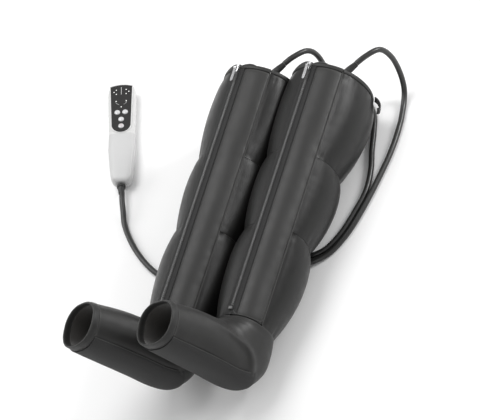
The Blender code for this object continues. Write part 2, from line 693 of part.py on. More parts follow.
def tube_mesh(name, points, radius, roundness):
    """A closed tube along points, as a mesh."""
    curve = bpy.data.curves.new(name, "CURVE")
    curve.dimensions = "3D"
    curve.bevel_depth = radius
    curve.bevel_resolution = roundness
    curve.use_fill_caps = True
    spline = curve.splines.new("POLY")
    spline.points.add(len(points) - 1)
    for target, point in zip(spline.points, points):
        target.co = (*point, 1)
    drawn = bpy.data.objects.new(name + "_path", curve)
    bpy.context.scene.collection.objects.link(drawn)
    depsgraph = bpy.context.evaluated_depsgraph_get()
    mesh = bpy.data.meshes.new_from_object(drawn.evaluated_get(depsgraph))
    bpy.data.objects.remove(drawn)
    bm = bmesh.new()
    bm.from_mesh(mesh)
    bmesh.ops.remove_doubles(bm, verts=bm.verts, dist=WELD)
    bmesh.ops.recalc_face_normals(bm, faces=bm.faces)
    bm.to_mesh(mesh)
    bm.free()
    mesh.name = name
    return mesh


def hose(name, start, start_way, route, end, end_way, look):
    """A hose from one exit to another: straight for a little at both ends, smooth between."""
    straight = HOSE_DIAMETER * 1.5
    first, last = start + start_way * straight, end + end_way * straight
    points = [start, first, *[Vector(place) for place in route], last, end]
    legs = len(points) - 1
    fine = [curve_at(points, share) for share in steps(legs * 20, 1 / legs, 1 - 1 / legs)]
    along = [0.0]
    for a, b in zip(fine, fine[1:]):
        along.append(along[-1] + (b - a).length)
    even = steps(round(along[-1] / HOSE_POINT_SPACING), 0, along[-1])
    middle = [Vector([between(place, along, [point[axis] for point in fine]) for axis in range(3)]) for place in even]
    for point in middle:
        point.z = max(point.z, HOSE_DIAMETER / 2 + GAP / 2)
    path = [start, *middle, end]
    found = bpy.data.objects.new(name, tube_mesh(name, path, HOSE_DIAMETER / 2, HOSE_ROUND_STEPS))
    finish_object(found, look)


class Controller:
    """The hand controller: where it lies and how its pieces are made."""

    def __init__(self):
        turn = Matrix.Rotation(CONTROLLER_TURN, 4, "Z") @ Matrix.Rotation(CONTROLLER_ROLL, 4, "Y")
        us, vs = steps(CASE_ACROSS, -1, 1), steps(CASE_ALONG, -1, 1)
        lowest = min((turn @ self.case_point(u, v, -1, 0)).z for u in us for v in vs)
        self.frame = Matrix.Translation((*CONTROLLER_PLACE, -lowest)) @ turn

    def half_width(self, y):
        """Half width of the case at a place along it."""
        half = CASE_LENGTH / 2
        return between(y, (-half, -half / 3, 0, half), (CASE_END_WIDTH / 2, CASE_GRIP_WIDTH / 2,
                                                       CASE_WAIST_WIDTH / 2, CASE_TOP_WIDTH / 2))

    def case_point(self, u, v, side, wall):
        """A point of the case's skin: shares across and along from -1 to 1, front or rear side."""
        half = CASE_LENGTH / 2 - wall
        y = half * math.sin(v * math.pi / 2)
        corner = max(CASE_END_SHARE, 1 - abs(y / half) ** CASE_END_POWER)
        width = (self.half_width(y) - wall) * corner ** (1 / CASE_SQUARENESS)
        x = width * math.sin(u * math.pi / 2)
        depth, power = (FRONT_DEPTH, CASE_SQUARENESS) if side > 0 else (REAR_DEPTH, REAR_SQUARENESS)
        across = max(0.0, 1 - abs(x / width) ** power) ** (1 / power)
        ends = max(0.0, 1 - abs(y / half) ** CASE_END_POWER) ** (1 / CASE_SQUARENESS)
        return Vector((x, y, side * (GAP / 2 + (depth - wall) * across * ends)))

    def at(self, x, y, z):
        return self.frame @ Matrix.Translation((x, y, z))

    def case_half(self, name, side, look):
        """Front or rear housing: a thin tray, open at the parting line."""

        def outer(u, v):
            return self.frame @ self.case_point(u, v, side, 0)

        def inner(u, v):
            return self.frame @ self.case_point(u, v, side, CASE_WALL)

        return pad(name, outer, inner, steps(CASE_ACROSS, -1, 1), steps(CASE_ALONG, -1, 1), look)

    def plate_bottom(self):
        """Place of the face plate's lower end along the case, just above the grip."""
        return GRIP_LENGTH - CASE_LENGTH / 2

    def plate_outline(self, margin=0.0):
        """Outline of the dark face plate: arched top, drawn-in waist, round bottom."""
        top = CASE_LENGTH / 2 - PLATE_TOP_DROP
        bottom = self.plate_bottom()
        half, waist = PLATE_WIDTH / 2 + margin, PLATE_WAIST / 2 + margin
        centre = bottom + PLATE_WAIST / 2
        arch = [(half * (1 - 2 * share), top + margin - PLATE_TOP_DROP * (2 * share - 1) ** 2)
                for share in steps(8)]
        bowl = [(-waist * math.cos(turn), centre - waist * math.sin(turn)) for turn in steps(12, 0, math.pi)]
        return arch + bowl

    def button_places(self):
        """Where each button stands on the face."""
        half, low = BUTTON_SPACING / 2, self.plate_bottom()
        return {"mode_button": (-half, low + TOP_ROW_RISE), "level_button": (half, low + TOP_ROW_RISE),
                "set_button": (0, low + SET_BUTTON_RISE), "power_button": (0, low + POWER_BUTTON_RISE)}

    def pump_end(self):
        """Place of the pump's upper end along the case."""
        return PUMP_RISE + PUMP_LENGTH - CASE_LENGTH / 2

    def spanning(self, name, width, height, low, high, middle, look, edge=0):
        """A block inside the case from one place along it to another."""
        return rounded_box(name, (width, high - low, height), edge, look, self.at(0, (low + high) / 2, middle), 1)

    def build(self, looks):
        """Makes every piece of the controller."""
        front = self.case_half("controller_front_housing", 1, looks["case"])
        rear = self.case_half("controller_rear_housing", -1, looks["case"])
        recess_floor = FRONT_DEPTH - PLATE_THICKNESS / 2
        recess = flat_plate("recess_cutter", [self.plate_outline(GAP)], PLATE_THICKNESS, None,
                            self.at(0, 0, recess_floor + PLATE_THICKNESS / 2 + GAP / 2))
        cut(front, recess)
        hole = BUTTON_WIDTH / 2 + BUTTON_CLEARANCE
        for name, (x, y) in self.button_places().items():
            drill = [(0, FRONT_DEPTH + OVERRUN), (hole, FRONT_DEPTH + OVERRUN), (hole, 0), (0, 0)]
            cut(front, turned(name + "_cutter", drill, None, self.at(x, y, 0), 16))
        holes = [circle_points(place, hole) for place in self.button_places().values()]
        plate_middle = recess_floor + GAP + PLATE_THICKNESS / 2
        flat_plate("controller_face_plate", [self.plate_outline(), *holes], PLATE_THICKNESS, looks["plate"],
                   self.at(0, 0, plate_middle))
        self.buttons(plate_middle + PLATE_THICKNESS / 2, looks)
        self.inside(looks)
        self.ends(front, rear, looks)

    def flange_top(self):
        """Height of the buttons' flanges, just under the front wall."""
        return FRONT_DEPTH - CASE_WALL - PLATE_THICKNESS / 2 - GAP

    def buttons(self, face, looks):
        """Four domed buttons, each with a flange under the front wall."""
        for name, (x, y) in self.button_places().items():
            radius, flange = BUTTON_WIDTH / 2, BUTTON_FLANGE / 2
            top = face + BUTTON_PROUD
            dome = [(radius * math.sin(turn), top - BUTTON_PROUD * (1 - math.cos(turn)))
                    for turn in steps(5, 0, math.pi / 2)]
            rest = self.flange_top()
            profile = dome + [(radius, rest), (flange, rest), (flange, rest - BUTTON_FLANGE_DEPTH),
                              (0, rest - BUTTON_FLANGE_DEPTH)]
            middle = (top + rest) / 2
            profile = [(size, height - middle) for size, height in profile]
            turned(name, profile, looks["button"], self.at(x, y, middle), 16)

    def inside(self, looks):
        """Button mat, circuit board, light guide, battery, pump and valve block."""
        top, bottom = CASE_LENGTH / 2, -CASE_LENGTH / 2
        low_row, high_row = self.plate_bottom() + POWER_BUTTON_RISE, self.plate_bottom() + TOP_ROW_RISE
        mat_top = self.flange_top() - BUTTON_FLANGE_DEPTH - BUTTON_TRAVEL - GAP
        mat_middle = mat_top - MAT_THICKNESS / 2
        margin = BUTTON_FLANGE * 3 / 4
        self.spanning("button_mat", BOARD_WIDTH, MAT_THICKNESS, low_row - margin, high_row + margin, mat_middle,
                      looks["rubber"])
        board_middle = mat_middle - MAT_THICKNESS / 2 - GAP - BOARD_THICKNESS / 2
        self.spanning("circuit_board", BOARD_WIDTH, BOARD_THICKNESS, self.pump_end() + BOARD_TO_PUMP,
                      top - BOARD_DROP, board_middle, looks["board"])
        guide_base = board_middle + BOARD_THICKNESS / 2 + GAP
        guide_top = FRONT_DEPTH - CASE_WALL - PLATE_THICKNESS / 2 - GAP
        self.spanning("light_guide", LIGHT_GUIDE_WIDTH, guide_top - guide_base,
                      high_row + BUTTON_FLANGE / 2 + LIGHT_GUIDE_TO_BUTTON, top - LIGHT_GUIDE_DROP,
                      (guide_top + guide_base) / 2, looks["clear"])
        battery_middle = board_middle - BOARD_THICKNESS / 2 - GAP - BATTERY_THICKNESS / 2
        self.spanning("battery", BATTERY_WIDTH, BATTERY_THICKNESS, self.pump_end() + BATTERY_TO_PUMP,
                      top - BATTERY_DROP, battery_middle, looks["battery"], BATTERY_THICKNESS / 6)
        lying = Matrix.Rotation(-math.pi / 2, 4, "X")
        nose = PUMP_RADIUS / 3
        pump = [(0, PUMP_LENGTH / 2), (nose, PUMP_LENGTH / 2), (nose, PUMP_LENGTH / 2 - nose),
                (PUMP_RADIUS, PUMP_LENGTH / 2 - nose), (PUMP_RADIUS, -PUMP_LENGTH / 2), (0, -PUMP_LENGTH / 2)]
        pump_middle = self.pump_end() - PUMP_LENGTH / 2
        turned("air_pump", pump, looks["metal"], self.at(0, pump_middle, self.pump_height()) @ lying, 16)
        valve_middle = FRONT_DEPTH - CASE_WALL - GAP * 2 - VALVE_HEIGHT / 2
        self.spanning("valve_block", VALVE_WIDTH, VALVE_HEIGHT, bottom + VALVE_RISE,
                      bottom + VALVE_RISE + VALVE_LENGTH, valve_middle, looks["rubber"], VALVE_HEIGHT / 10)

    def pump_height(self):
        """The pump lies against the inside of the front wall."""
        return FRONT_DEPTH - CASE_WALL - GAP * 2 - PUMP_RADIUS

    def ends(self, front, rear, looks):
        """Hose gland and charging socket at the lower end, and the screws in the back."""
        end = -CASE_LENGTH / 2
        base, tip = GLAND_BASE / 2, HOSE_DIAMETER / 2
        neck = GLAND_LENGTH / 4
        gland = [(0, GLAND_LENGTH), (tip, GLAND_LENGTH), (base - (base - tip) / 2, neck), (base, neck), (base, 0),
                 (0, 0)]
        facing = self.at(0, end - GAP, 0) @ Matrix.Rotation(math.pi / 2, 4, "X")
        turned("hose_gland", gland, looks["rubber"], facing, 16)
        slot = (SOCKET_WIDTH, SOCKET_LENGTH, SOCKET_HEIGHT)
        place = self.at(CASE_END_WIDTH / 2 - SOCKET_WIDTH / 2 - CASE_WALL * 2, end + SOCKET_LENGTH, -REAR_DEPTH / 2)
        rounded_box("charging_socket", slot, SOCKET_HEIGHT / 4, looks["metal"], place, 1)
        room = [size + GAP * 2 for size in slot]
        cut(rear, rounded_box("socket_cutter", room, 0, None, place))
        for number, y in enumerate((-end - SCREW_INSET, end + SCREW_INSET), 1):
            hole, deep = SCREW_RADIUS + GAP, CASE_WALL + OVERRUN
            drill = [(0, deep), (hole, deep), (hole, -OVERRUN), (0, -OVERRUN)]
            under = self.at(0, y, -REAR_DEPTH)
            cut(rear, turned(f"screw_{number}_cutter", drill, None, under, 12))
            head = [(0, CASE_WALL), (SCREW_RADIUS, CASE_WALL), (SCREW_RADIUS, GAP), (0, GAP)]
            turned(f"case_screw_{number}", head, looks["metal"], under, 12)


def splitter(looks):
    """The hose splitter on the table between the legs; returns its frame."""
    frame = Matrix.Translation((*SPLITTER_PLACE, SPLITTER_HEIGHT / 2)) @ Matrix.Rotation(SPLITTER_TURN, 4, "Z")
    half = SPLITTER_LENGTH / 2
    inlet, outlet = SPLITTER_INLET_WIDTH / 2, SPLITTER_OUTLET_WIDTH / 2
    outline = [(-half, -inlet), (-half / 3, -inlet), (half / 4, -outlet), (half, -outlet),
               (half, outlet), (half / 4, outlet), (-half / 3, inlet), (-half, inlet)]
    flat_plate("hose_splitter", [outline], SPLITTER_HEIGHT, looks["rubber"], frame)
    return frame


def hoses(boots, controller, looks):
    """The three free hoses, from gland and reliefs to the splitter."""
    middle = splitter(looks)
    half = SPLITTER_LENGTH / 2 + GAP
    along = (middle.to_3x3() @ Vector((1, 0, 0))).normalized()
    gland = controller.frame @ Vector((0, -CASE_LENGTH / 2 - GLAND_LENGTH - GAP * 2, 0))
    gland_way = (controller.frame.to_3x3() @ Vector((0, -1, 0))).normalized()
    hose("controller_hose", gland, gland_way, CONTROLLER_HOSE_ROUTE, middle @ Vector((-half, 0, 0)), -along,
         looks["rubber"])
    for boot, side, route in ((boots[0], -1, NEAR_HOSE_ROUTE), (boots[1], 1, FAR_HOSE_ROUTE)):
        start = middle @ Vector((half, side * TWIN_SPACING / 2, 0))
        relief = boot.relief_frame()
        end = relief @ Vector((0, 0, RELIEF_LENGTH + GAP))
        away = (relief.to_3x3() @ Vector((0, 0, 1))).normalized()
        hose(f"{boot.name}_hose", start, along, route, end, away, looks["rubber"])


def all_looks():
    """The materials of the pair, by use."""
    greys = {"cover": (0.030, 0.62), "panel": (0.062, 0.58), "binding": (0.018, 0.75), "sole": (0.040, 0.8),
             "lining": (0.045, 0.9), "tape": (0.014, 0.85), "chain": (0.020, 0.55), "rubber": (0.028, 0.5),
             "case": (0.86, 0.35), "plate": (0.022, 0.25), "button": (0.70, 0.3), "battery": (0.2, 0.5),
             "clear": (0.9, 0.1)}
    looks = {use: material(use, (grey, grey, grey), rough) for use, (grey, rough) in greys.items()}
    looks["metal"] = material("metal", (0.75, 0.75, 0.76), 0.25, 1.0)
    looks["board"] = material("board", (0.03, 0.18, 0.07), 0.5)
    return looks


def material(name, colour, roughness, metallic=0.0):
    """A plain material."""
    found = bpy.data.materials.new(name)
    found.use_nodes = True
    shader = found.node_tree.nodes["Principled BSDF"]
    shader.inputs["Base Color"].default_value = (*colour, 1)
    shader.inputs["Roughness"].default_value = roughness
    shader.inputs["Metallic"].default_value = metallic
    found.diffuse_color = (*colour, 1)
    return found


def centre_on_origin():
    """Moves everything so that the pieces other than hoses are centred over the origin."""
    depsgraph = bpy.context.evaluated_depsgraph_get()
    corners = []
    for found in bpy.data.collections[COLLECTION].objects:
        if not found.name.endswith("_hose"):
            drawn = found.evaluated_get(depsgraph)
            corners += [found.matrix_world @ Vector(corner) for corner in drawn.bound_box]
    low = Vector([min(corner[axis] for corner in corners) for axis in range(3)])
    high = Vector([max(corner[axis] for corner in corners) for axis in range(3)])
    shift = Vector((-(low.x + high.x) / 2, -(low.y + high.y) / 2, 0))
    for found in bpy.data.objects:
        found.location += shift


def main():
    for found in list(bpy.data.objects):
        bpy.data.objects.remove(found)
    for name in (COLLECTION, CUTTERS):
        bpy.context.scene.collection.children.link(bpy.data.collections.new(name))
    looks = all_looks()
    limit = BOOT_SPACING / 2 - GAP / 2
    near = Boot("near", (0, 0, 0), left_limit=limit)
    far = Boot("far", (-BOOT_SPACING, -BOOT_STAGGER, 0), FAR_BOOT_ROLL, right_limit=limit)
    for boot in (near, far):
        boot.build(looks)
    controller = Controller()
    controller.build(looks)
    hoses((near, far), controller, looks)
    bpy.context.view_layer.update()
    centre_on_origin()


main()
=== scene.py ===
"""The looks of a pair of compression boots with a hand controller, on a pale table."""
import logging
import math
from dataclasses import dataclass
from enum import Enum
from typing import Callable, Optional, Sequence

import bmesh
import bpy
import numpy as np
from mathutils import Matrix, Vector


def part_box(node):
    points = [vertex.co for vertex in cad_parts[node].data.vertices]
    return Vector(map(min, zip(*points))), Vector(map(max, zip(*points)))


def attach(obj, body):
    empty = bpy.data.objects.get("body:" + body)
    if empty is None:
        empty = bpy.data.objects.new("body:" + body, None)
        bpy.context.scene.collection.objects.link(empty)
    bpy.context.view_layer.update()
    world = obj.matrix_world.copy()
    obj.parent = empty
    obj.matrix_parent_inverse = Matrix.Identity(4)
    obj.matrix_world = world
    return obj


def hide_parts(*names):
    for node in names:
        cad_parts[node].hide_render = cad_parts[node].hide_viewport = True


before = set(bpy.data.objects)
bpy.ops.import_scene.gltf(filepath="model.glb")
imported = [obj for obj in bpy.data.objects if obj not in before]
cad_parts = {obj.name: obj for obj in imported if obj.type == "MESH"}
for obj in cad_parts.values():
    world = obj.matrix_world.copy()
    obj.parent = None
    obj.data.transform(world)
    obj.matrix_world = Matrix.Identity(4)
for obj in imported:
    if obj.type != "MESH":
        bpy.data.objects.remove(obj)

LOG = logging.getLogger("boots")
GAP = 0.0003
BODY = "boots"
BOOT_SPACING = 0.1015
FAR_BOOT_BACK = 0.010
FAR_BOOT_ROLL = math.radians(6)
SPLITTER_PLACE = (-0.0540, 0.1725, 0.0050)
Colour = tuple[float, float, float]
Surface = Callable[[np.ndarray, np.ndarray], np.ndarray]


def origin_shift() -> Vector:
    """Finds where the middle of the near boot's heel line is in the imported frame.

    Returns:
        The shift from the boots' own places to the frame.
    """
    low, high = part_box("hose_splitter")
    x, y, _ = SPLITTER_PLACE
    return Vector(((low[0] + high[0]) / 2 - x, (low[1] + high[1]) / 2 - y, 0))


def grey(level: float) -> Colour:
    """An even grey."""
    return level, level, level


class Zone(Enum):
    """The named parts of a boot's leg, from the ankle up."""

    LOWER = "lower"
    MIDDLE = "middle"
    UPPER = "upper"


class MaterialSketch:
    """A short way to lay and link the nodes of one material."""

    def __init__(self, name: str) -> None:
        """Starts a material.

        Args:
            name: the material's name.
        """
        self.material = bpy.data.materials.new(name)
        self.material.use_nodes = True
        self.tree = self.material.node_tree
        self.shader = self.tree.nodes["Principled BSDF"]

    def add(self, kind: str, **settings: object) -> bpy.types.Node:
        """Adds a node.

        Args:
            kind: the node's Blender type, without its ShaderNode start.
            settings: its properties, and its inputs by name with _ for spaces.

        Returns:
            The new node.
        """
        node = self.tree.nodes.new("ShaderNode" + kind)
        for key, value in settings.items():
            label = key.replace("_", " ")
            if label in node.inputs:
                node.inputs[label].default_value = value
            else:
                setattr(node, key, value)
        return node

    def link(self, out: bpy.types.NodeSocket, into: bpy.types.NodeSocket) -> None:
        """Links one socket to another."""
        self.tree.links.new(out, into)

    def set(self, **values: object) -> None:
        """Sets even values straight on the shader's own sockets."""
        for key, value in values.items():
            self.shader.inputs[key.replace("_", " ")].default_value = value

    def cloth_place(self) -> bpy.types.Node:
        """Adds the piece's own cloth lengths.

        Returns:
            The node whose X and Y sockets give them, in metres.
        """
        split = self.add("SeparateXYZ")
        self.link(self.add("TexCoord").outputs["UV"], split.inputs[0])
        return split

    def wave(self, length: bpy.types.NodeSocket, pitch: float) -> bpy.types.NodeSocket:
        """Adds even waves along a length.

        Args:
            length: the socket that gives the length, in metres.
            pitch: from one wave to the next, in metres.

        Returns:
            The socket that gives the waves, -1 to 1.
        """
        turned = self.add("Math", operation="MULTIPLY")
        self.link(length, turned.inputs[0])
        turned.inputs[1].default_value = 2 * math.pi / pitch
        wave = self.add("Math", operation="SINE")
        self.link(turned.outputs[0], wave.inputs[0])
        return wave.outputs[0]

    def threads(self, pitch: float, twill: float = 0.0) -> bpy.types.NodeSocket:
        """Adds a woven height from the piece's own cloth lengths.

        Args:
            pitch: from one thread to the next, in metres.
            twill: how far each thread is shifted along the next, as a share.

        Returns:
            The socket that gives the height, 0 to 1.
        """
        split = self.cloth_place()
        waves = []
        for own, other in (("X", "Y"), ("Y", "X")):
            shifted = self.add("Math", operation="MULTIPLY_ADD")
            self.link(split.outputs[other], shifted.inputs[0])
            shifted.inputs[1].default_value = twill
            self.link(split.outputs[own], shifted.inputs[2])
            waves.append(self.wave(shifted.outputs[0], pitch))
        both = self.add("Math", operation="MULTIPLY_ADD")
        self.link(waves[0], both.inputs[0])
        self.link(waves[1], both.inputs[1])
        both.inputs[2].default_value = 0.5
        return both.outputs[0]

    def clouds(self, scale: float, detail: float = 3.0) -> bpy.types.NodeSocket:
        """Adds soft noise in the object's own space.

        Args:
            scale: how fine it is.
            detail: how rough its edges are.

        Returns:
            The socket that gives it, 0 to 1.
        """
        place = self.add("TexCoord")
        noise = self.add("TexNoise", Scale=scale, Detail=detail, Roughness=0.55)
        self.link(place.outputs["Object"], noise.inputs["Vector"])
        return noise.outputs["Fac"]

    def ramp(self, fac: bpy.types.NodeSocket, first: Colour, last: Colour, start: float,
             end: float) -> bpy.types.NodeSocket:
        """Adds a colour ramp.

        Args:
            fac: what it reads.
            first: colour up to start.
            last: colour from end.
            start: where it begins to change.
            end: where it has changed.

        Returns:
            The colour socket.
        """
        node = self.add("ValToRGB")
        node.color_ramp.elements[0].position = start
        node.color_ramp.elements[0].color = (*first, 1)
        node.color_ramp.elements[1].position = end
        node.color_ramp.elements[1].color = (*last, 1)
        self.link(fac, node.inputs[0])
        return node.outputs[0]

    def base(self, fac: bpy.types.NodeSocket, first: Colour, last: Colour, start: float, end: float) -> None:
        """Gives the shader a colour that changes with fac, as ramp has it."""
        self.link(self.ramp(fac, first, last, start, end), self.shader.inputs["Base Color"])

    def rough(self, fac: bpy.types.NodeSocket, low: float, high: float, start: float = 0.3,
              end: float = 0.7) -> None:
        """Gives the shader an uneven roughness.

        Args:
            fac: what it reads.
            low: roughness at start.
            high: roughness at end.
            start: where fac begins to change it.
            end: where fac has changed it.
        """
        node = self.add("MapRange", To_Min=low, To_Max=high, From_Min=start, From_Max=end)
        self.link(fac, node.inputs[0])
        self.link(node.outputs[0], self.shader.inputs["Roughness"])

    def bump(self, heights: Sequence[tuple[bpy.types.NodeSocket, float, float]]) -> None:
        """Gives the shader its relief.

        Args:
            heights: for each layer its height socket, strength and depth in metres.
        """
        last = None
        for height, strength, depth in heights:
            node = self.add("Bump", Strength=strength, Distance=depth)
            self.link(height, node.inputs["Height"])
            if last:
                self.link(last.outputs[0], node.inputs["Normal"])
            last = node
        if last:
            self.link(last.outputs[0], self.shader.inputs["Normal"])


@dataclass(frozen=True)
class CoatedCloth:
    """Satin coated nylon: a fine weave under a thin coat, softly uneven, lighter on its sharp edges as rubbed
    wear and a painted edge highlight.
    """

    name: str
    colour: Colour
    # Colour of sharp outward edges: partly rubbed wear, partly a painted edge highlight.
    edge_wear_and_sheen: Colour
    roughness: tuple[float, float] = (0.40, 0.56)
    pitch: float = 0.0007
    weave: float = 0.16
    sheen: float = 0.06
    coat: float = 0.12
    specular: float = 0.32

    def build(self) -> bpy.types.Material:
        """Makes the material."""
        sketch = MaterialSketch(self.name)
        dark = tuple(share * 0.82 for share in self.colour)
        base = sketch.ramp(sketch.clouds(16), dark, self.colour, 0.35, 0.65)
        geometry = sketch.add("NewGeometry")
        # Sharp outward edges, found by pointiness, take the lighter edge colour: rubbed wear together with a
        # painted highlight along edges, seams and piping.
        edge_wear_and_sheen_mask = sketch.ramp(geometry.outputs["Pointiness"], (0, 0, 0), (1, 1, 1), 0.515, 0.56)
        mix = sketch.add("Mix", data_type="RGBA")
        sketch.link(edge_wear_and_sheen_mask, mix.inputs["Factor"])
        sketch.link(base, mix.inputs[6])
        mix.inputs[7].default_value = (*self.edge_wear_and_sheen, 1)
        sketch.link(mix.outputs[2], sketch.shader.inputs["Base Color"])
        sketch.rough(sketch.clouds(90, 4), *self.roughness)
        sketch.set(Specular_IOR_Level=self.specular, Sheen_Weight=self.sheen, Sheen_Roughness=0.45,
                   Coat_Weight=self.coat, Coat_Roughness=0.33)
        sketch.bump([(sketch.threads(self.pitch), self.weave, 0.00012), (sketch.clouds(40, 2), 0.10, 0.0006),
                     (sketch.clouds(320, 3), 0.12, 0.00015)])
        return sketch.material


@dataclass(frozen=True)
class MattCloth:
    """Woven webbing, binding, tape or knitted lining, without a coat."""

    name: str
    colour: Colour
    pitch: float = 0.0009
    twill: float = 0.5
    relief: float = 0.5
    sheen: float = 0.25

    def build(self) -> bpy.types.Material:
        """Makes the material."""
        sketch = MaterialSketch(self.name)
        light = tuple(min(1.0, share * 1.5) for share in self.colour)
        woven = sketch.threads(self.pitch, self.twill)
        sketch.base(woven, self.colour, light, 0.2, 0.9)
        sketch.set(Roughness=0.86, Sheen_Weight=self.sheen, Sheen_Roughness=0.5)
        sketch.bump([(woven, self.relief, 0.0002), (sketch.clouds(60, 3), 0.2, 0.0005)])
        return sketch.material


@dataclass(frozen=True)
class RibbedSole:
    """Non-slip sole cloth with fine raised ribs across the foot."""

    name: str
    colour: Colour
    pitch: float = 0.0018

    def build(self) -> bpy.types.Material:
        """Makes the material."""
        sketch = MaterialSketch(self.name)
        ribs = sketch.wave(sketch.cloth_place().outputs["Y"], self.pitch)
        light = tuple(share * 1.8 for share in self.colour)
        sketch.base(ribs, self.colour, light, 0.1, 1.0)
        sketch.set(Roughness=0.72)
        sketch.bump([(ribs, 0.45, 0.0003), (sketch.threads(0.0008), 0.3, 0.0001)])
        return sketch.material


@dataclass(frozen=True)
class Moulded:
    """Moulded plastic or rubber with a fine grain and faint handling marks."""

    name: str
    colour: Colour
    roughness: float
    grain: float = 0.08
    coat: float = 0.0
    clear: float = 0.0
    mottle: float = 0.06

    def build(self) -> bpy.types.Material:
        """Makes the material."""
        sketch = MaterialSketch(self.name)
        shade = tuple(share * (1 - self.mottle) for share in self.colour)
        sketch.base(sketch.clouds(30), shade, self.colour, 0.35, 0.6)
        sketch.rough(sketch.clouds(140, 4), self.roughness * 0.85, self.roughness * 1.15)
        sketch.set(Coat_Weight=self.coat, Coat_Roughness=0.08, Transmission_Weight=self.clear)
        sketch.bump([(sketch.clouds(1400, 2), self.grain, 0.00008)])
        return sketch.material


@dataclass(frozen=True)
class Polished:
    """Plated metal with hairline scratches."""

    name: str
    colour: Colour
    roughness: float = 0.22

    def build(self) -> bpy.types.Material:
        """Makes the material."""
        sketch = MaterialSketch(self.name)
        shade = tuple(share * 0.8 for share in self.colour)
        sketch.base(sketch.clouds(240), shade, self.colour, 0.3, 0.6)
        sketch.rough(sketch.clouds(700, 5), self.roughness * 0.7, self.roughness * 1.4, 0.0, 1.0)
        sketch.set(Metallic=1.0)
        sketch.bump([(sketch.clouds(900, 5), 0.1, 0.00005)])
        return sketch.material


@dataclass(frozen=True)
class Glowing:
    """A small lit indicator lens."""

    name: str
    colour: Colour
    strength: float

    def build(self) -> bpy.types.Material:
        """Makes the material."""
        sketch = MaterialSketch(self.name)
        sketch.base(sketch.clouds(500), self.colour, (1, 1, 1), 0.2, 1.2)
        sketch.set(Roughness=0.25, Emission_Color=(*self.colour, 1), Emission_Strength=self.strength)
        return sketch.material


class Wardrobe:
    """Every finish of the object, made once and looked up by the part of the object it is on."""

    def __init__(self) -> None:
        """Makes all the finishes."""
        finishes = {
            # The second colour of each coated cloth is the lighter colour of its sharp edges: partly rubbed
            # wear, partly a painted edge highlight.
            "cover": CoatedCloth("cover_cloth", (0.0085, 0.0084, 0.0080), (0.020, 0.0197, 0.0190),
                                 (0.32, 0.46), sheen=0.03, specular=0.26),
            "panel": CoatedCloth("panel_cloth", (0.025, 0.0248, 0.0241), (0.044, 0.0435, 0.0425),
                                 (0.42, 0.56)),
            "foot": CoatedCloth("foot_cloth", (0.0140, 0.0138, 0.0132), (0.028, 0.0275, 0.0268),
                                (0.42, 0.56)),
            "binding": CoatedCloth("binding_cloth", (0.012, 0.012, 0.0115), (0.032, 0.032, 0.031),
                                   (0.5, 0.65), 0.0009, 0.35),
            "lining": MattCloth("lining_knit", (0.034, 0.031, 0.027), 0.0012, 0.0, 0.4, 0.4),
            "sole": RibbedSole("sole_ribs", grey(0.012)),
            "tape": MattCloth("zip_tape_weave", grey(0.0075), 0.0007, 1.0, 0.5, 0.08),
            "webbing": MattCloth("loop_webbing", grey(0.010), 0.0012, 0.6, 0.6),
            "thread": MattCloth("stitch_thread", grey(0.030), 0.0004, 1.0, 0.4),
            "teeth": Moulded("zip_teeth_plastic", grey(0.11), 0.25, 0.05, 0.6),
            "metal": Polished("plated_metal", (0.83, 0.83, 0.84)),
            "steel": Polished("screw_steel", (0.55, 0.55, 0.56), 0.35),
            "hose": Moulded("hose_rubber", (0.020, 0.020, 0.0195), 0.34, 0.10),
            "rubber": Moulded("relief_rubber", grey(0.015), 0.50, 0.2),
            "case": Moulded("case_plastic", (0.62, 0.62, 0.615), 0.30, 0.05, 0.2, mottle=0.02),
            "grip": Moulded("grip_plastic", grey(0.53), 0.38, 0.12, mottle=0.03),
            "plate": Moulded("face_plate_plastic", (0.014, 0.0135, 0.0135), 0.2, 0.03, 0.4),
            "button": Moulded("button_plastic", (0.58, 0.58, 0.59), 0.22, 0.03, 0.5, mottle=0.03),
            "ring": Moulded("power_ring_print", (0.55, 0.30, 0.30), 0.4, 0.02),
            "print": Moulded("divider_print", grey(0.62), 0.4, 0.02),
            "lamp": Glowing("lamp_lens", (0.80, 0.80, 0.78), 0.15),
            "board": Moulded("board_laminate", (0.03, 0.18, 0.07), 0.4, 0.1, 0.2),
            "battery": Moulded("battery_foil", (0.30, 0.31, 0.36), 0.35, 0.2),
            "clear": Moulded("light_guide_plastic", (0.86, 0.86, 0.83), 0.2, 0.02, clear=0.6),
            "dark_rubber": Moulded("mat_rubber", grey(0.05), 0.6, 0.1),
        }
        self.materials = {use: finish.build() for use, finish in finishes.items()}

    def keep(self, piece: bpy.types.Object, use: str, slot: str, body: str = BODY,
             *nodes: str) -> bpy.types.Object:
        """Gives a new piece its finish, ties it to its body and hides the nodes it stands for.

        Args:
            piece: the piece.
            use: which finish.
            slot: the record's slot that the finish is for; not used.
            body: the body it rides on.
            nodes: the nodes it stands for.

        Returns:
            The piece.
        """
        piece.data.materials.clear()
        piece.data.materials.append(self.materials[use])
        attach(piece, body)
        if nodes:
            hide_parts(*nodes)
        LOG.info("%s", piece.name)
        return piece

    def dress_node(self, node: str, use: str) -> None:
        """Gives a node that stays its finish, in every slot.

        Args:
            node: the node.
            use: which finish.
        """
        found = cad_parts[node]
        if not found.material_slots:
            found.data.materials.append(self.materials[use])
        for slot in found.material_slots:
            slot.material = self.materials[use]


def linked(mesh: bpy.types.Mesh, sharp: float = 40.0) -> bpy.types.Object:
    """Links a mesh as an object and smooths its round faces.

    Args:
        mesh: the mesh.
        sharp: edges that turn more than this, in degrees, stay sharp.

    Returns:
        The object.
    """
    piece = bpy.data.objects.new(mesh.name, mesh)
    bpy.context.scene.collection.objects.link(piece)
    mesh.shade_smooth()
    mesh.set_sharp_from_angle(angle=math.radians(sharp))
    return piece


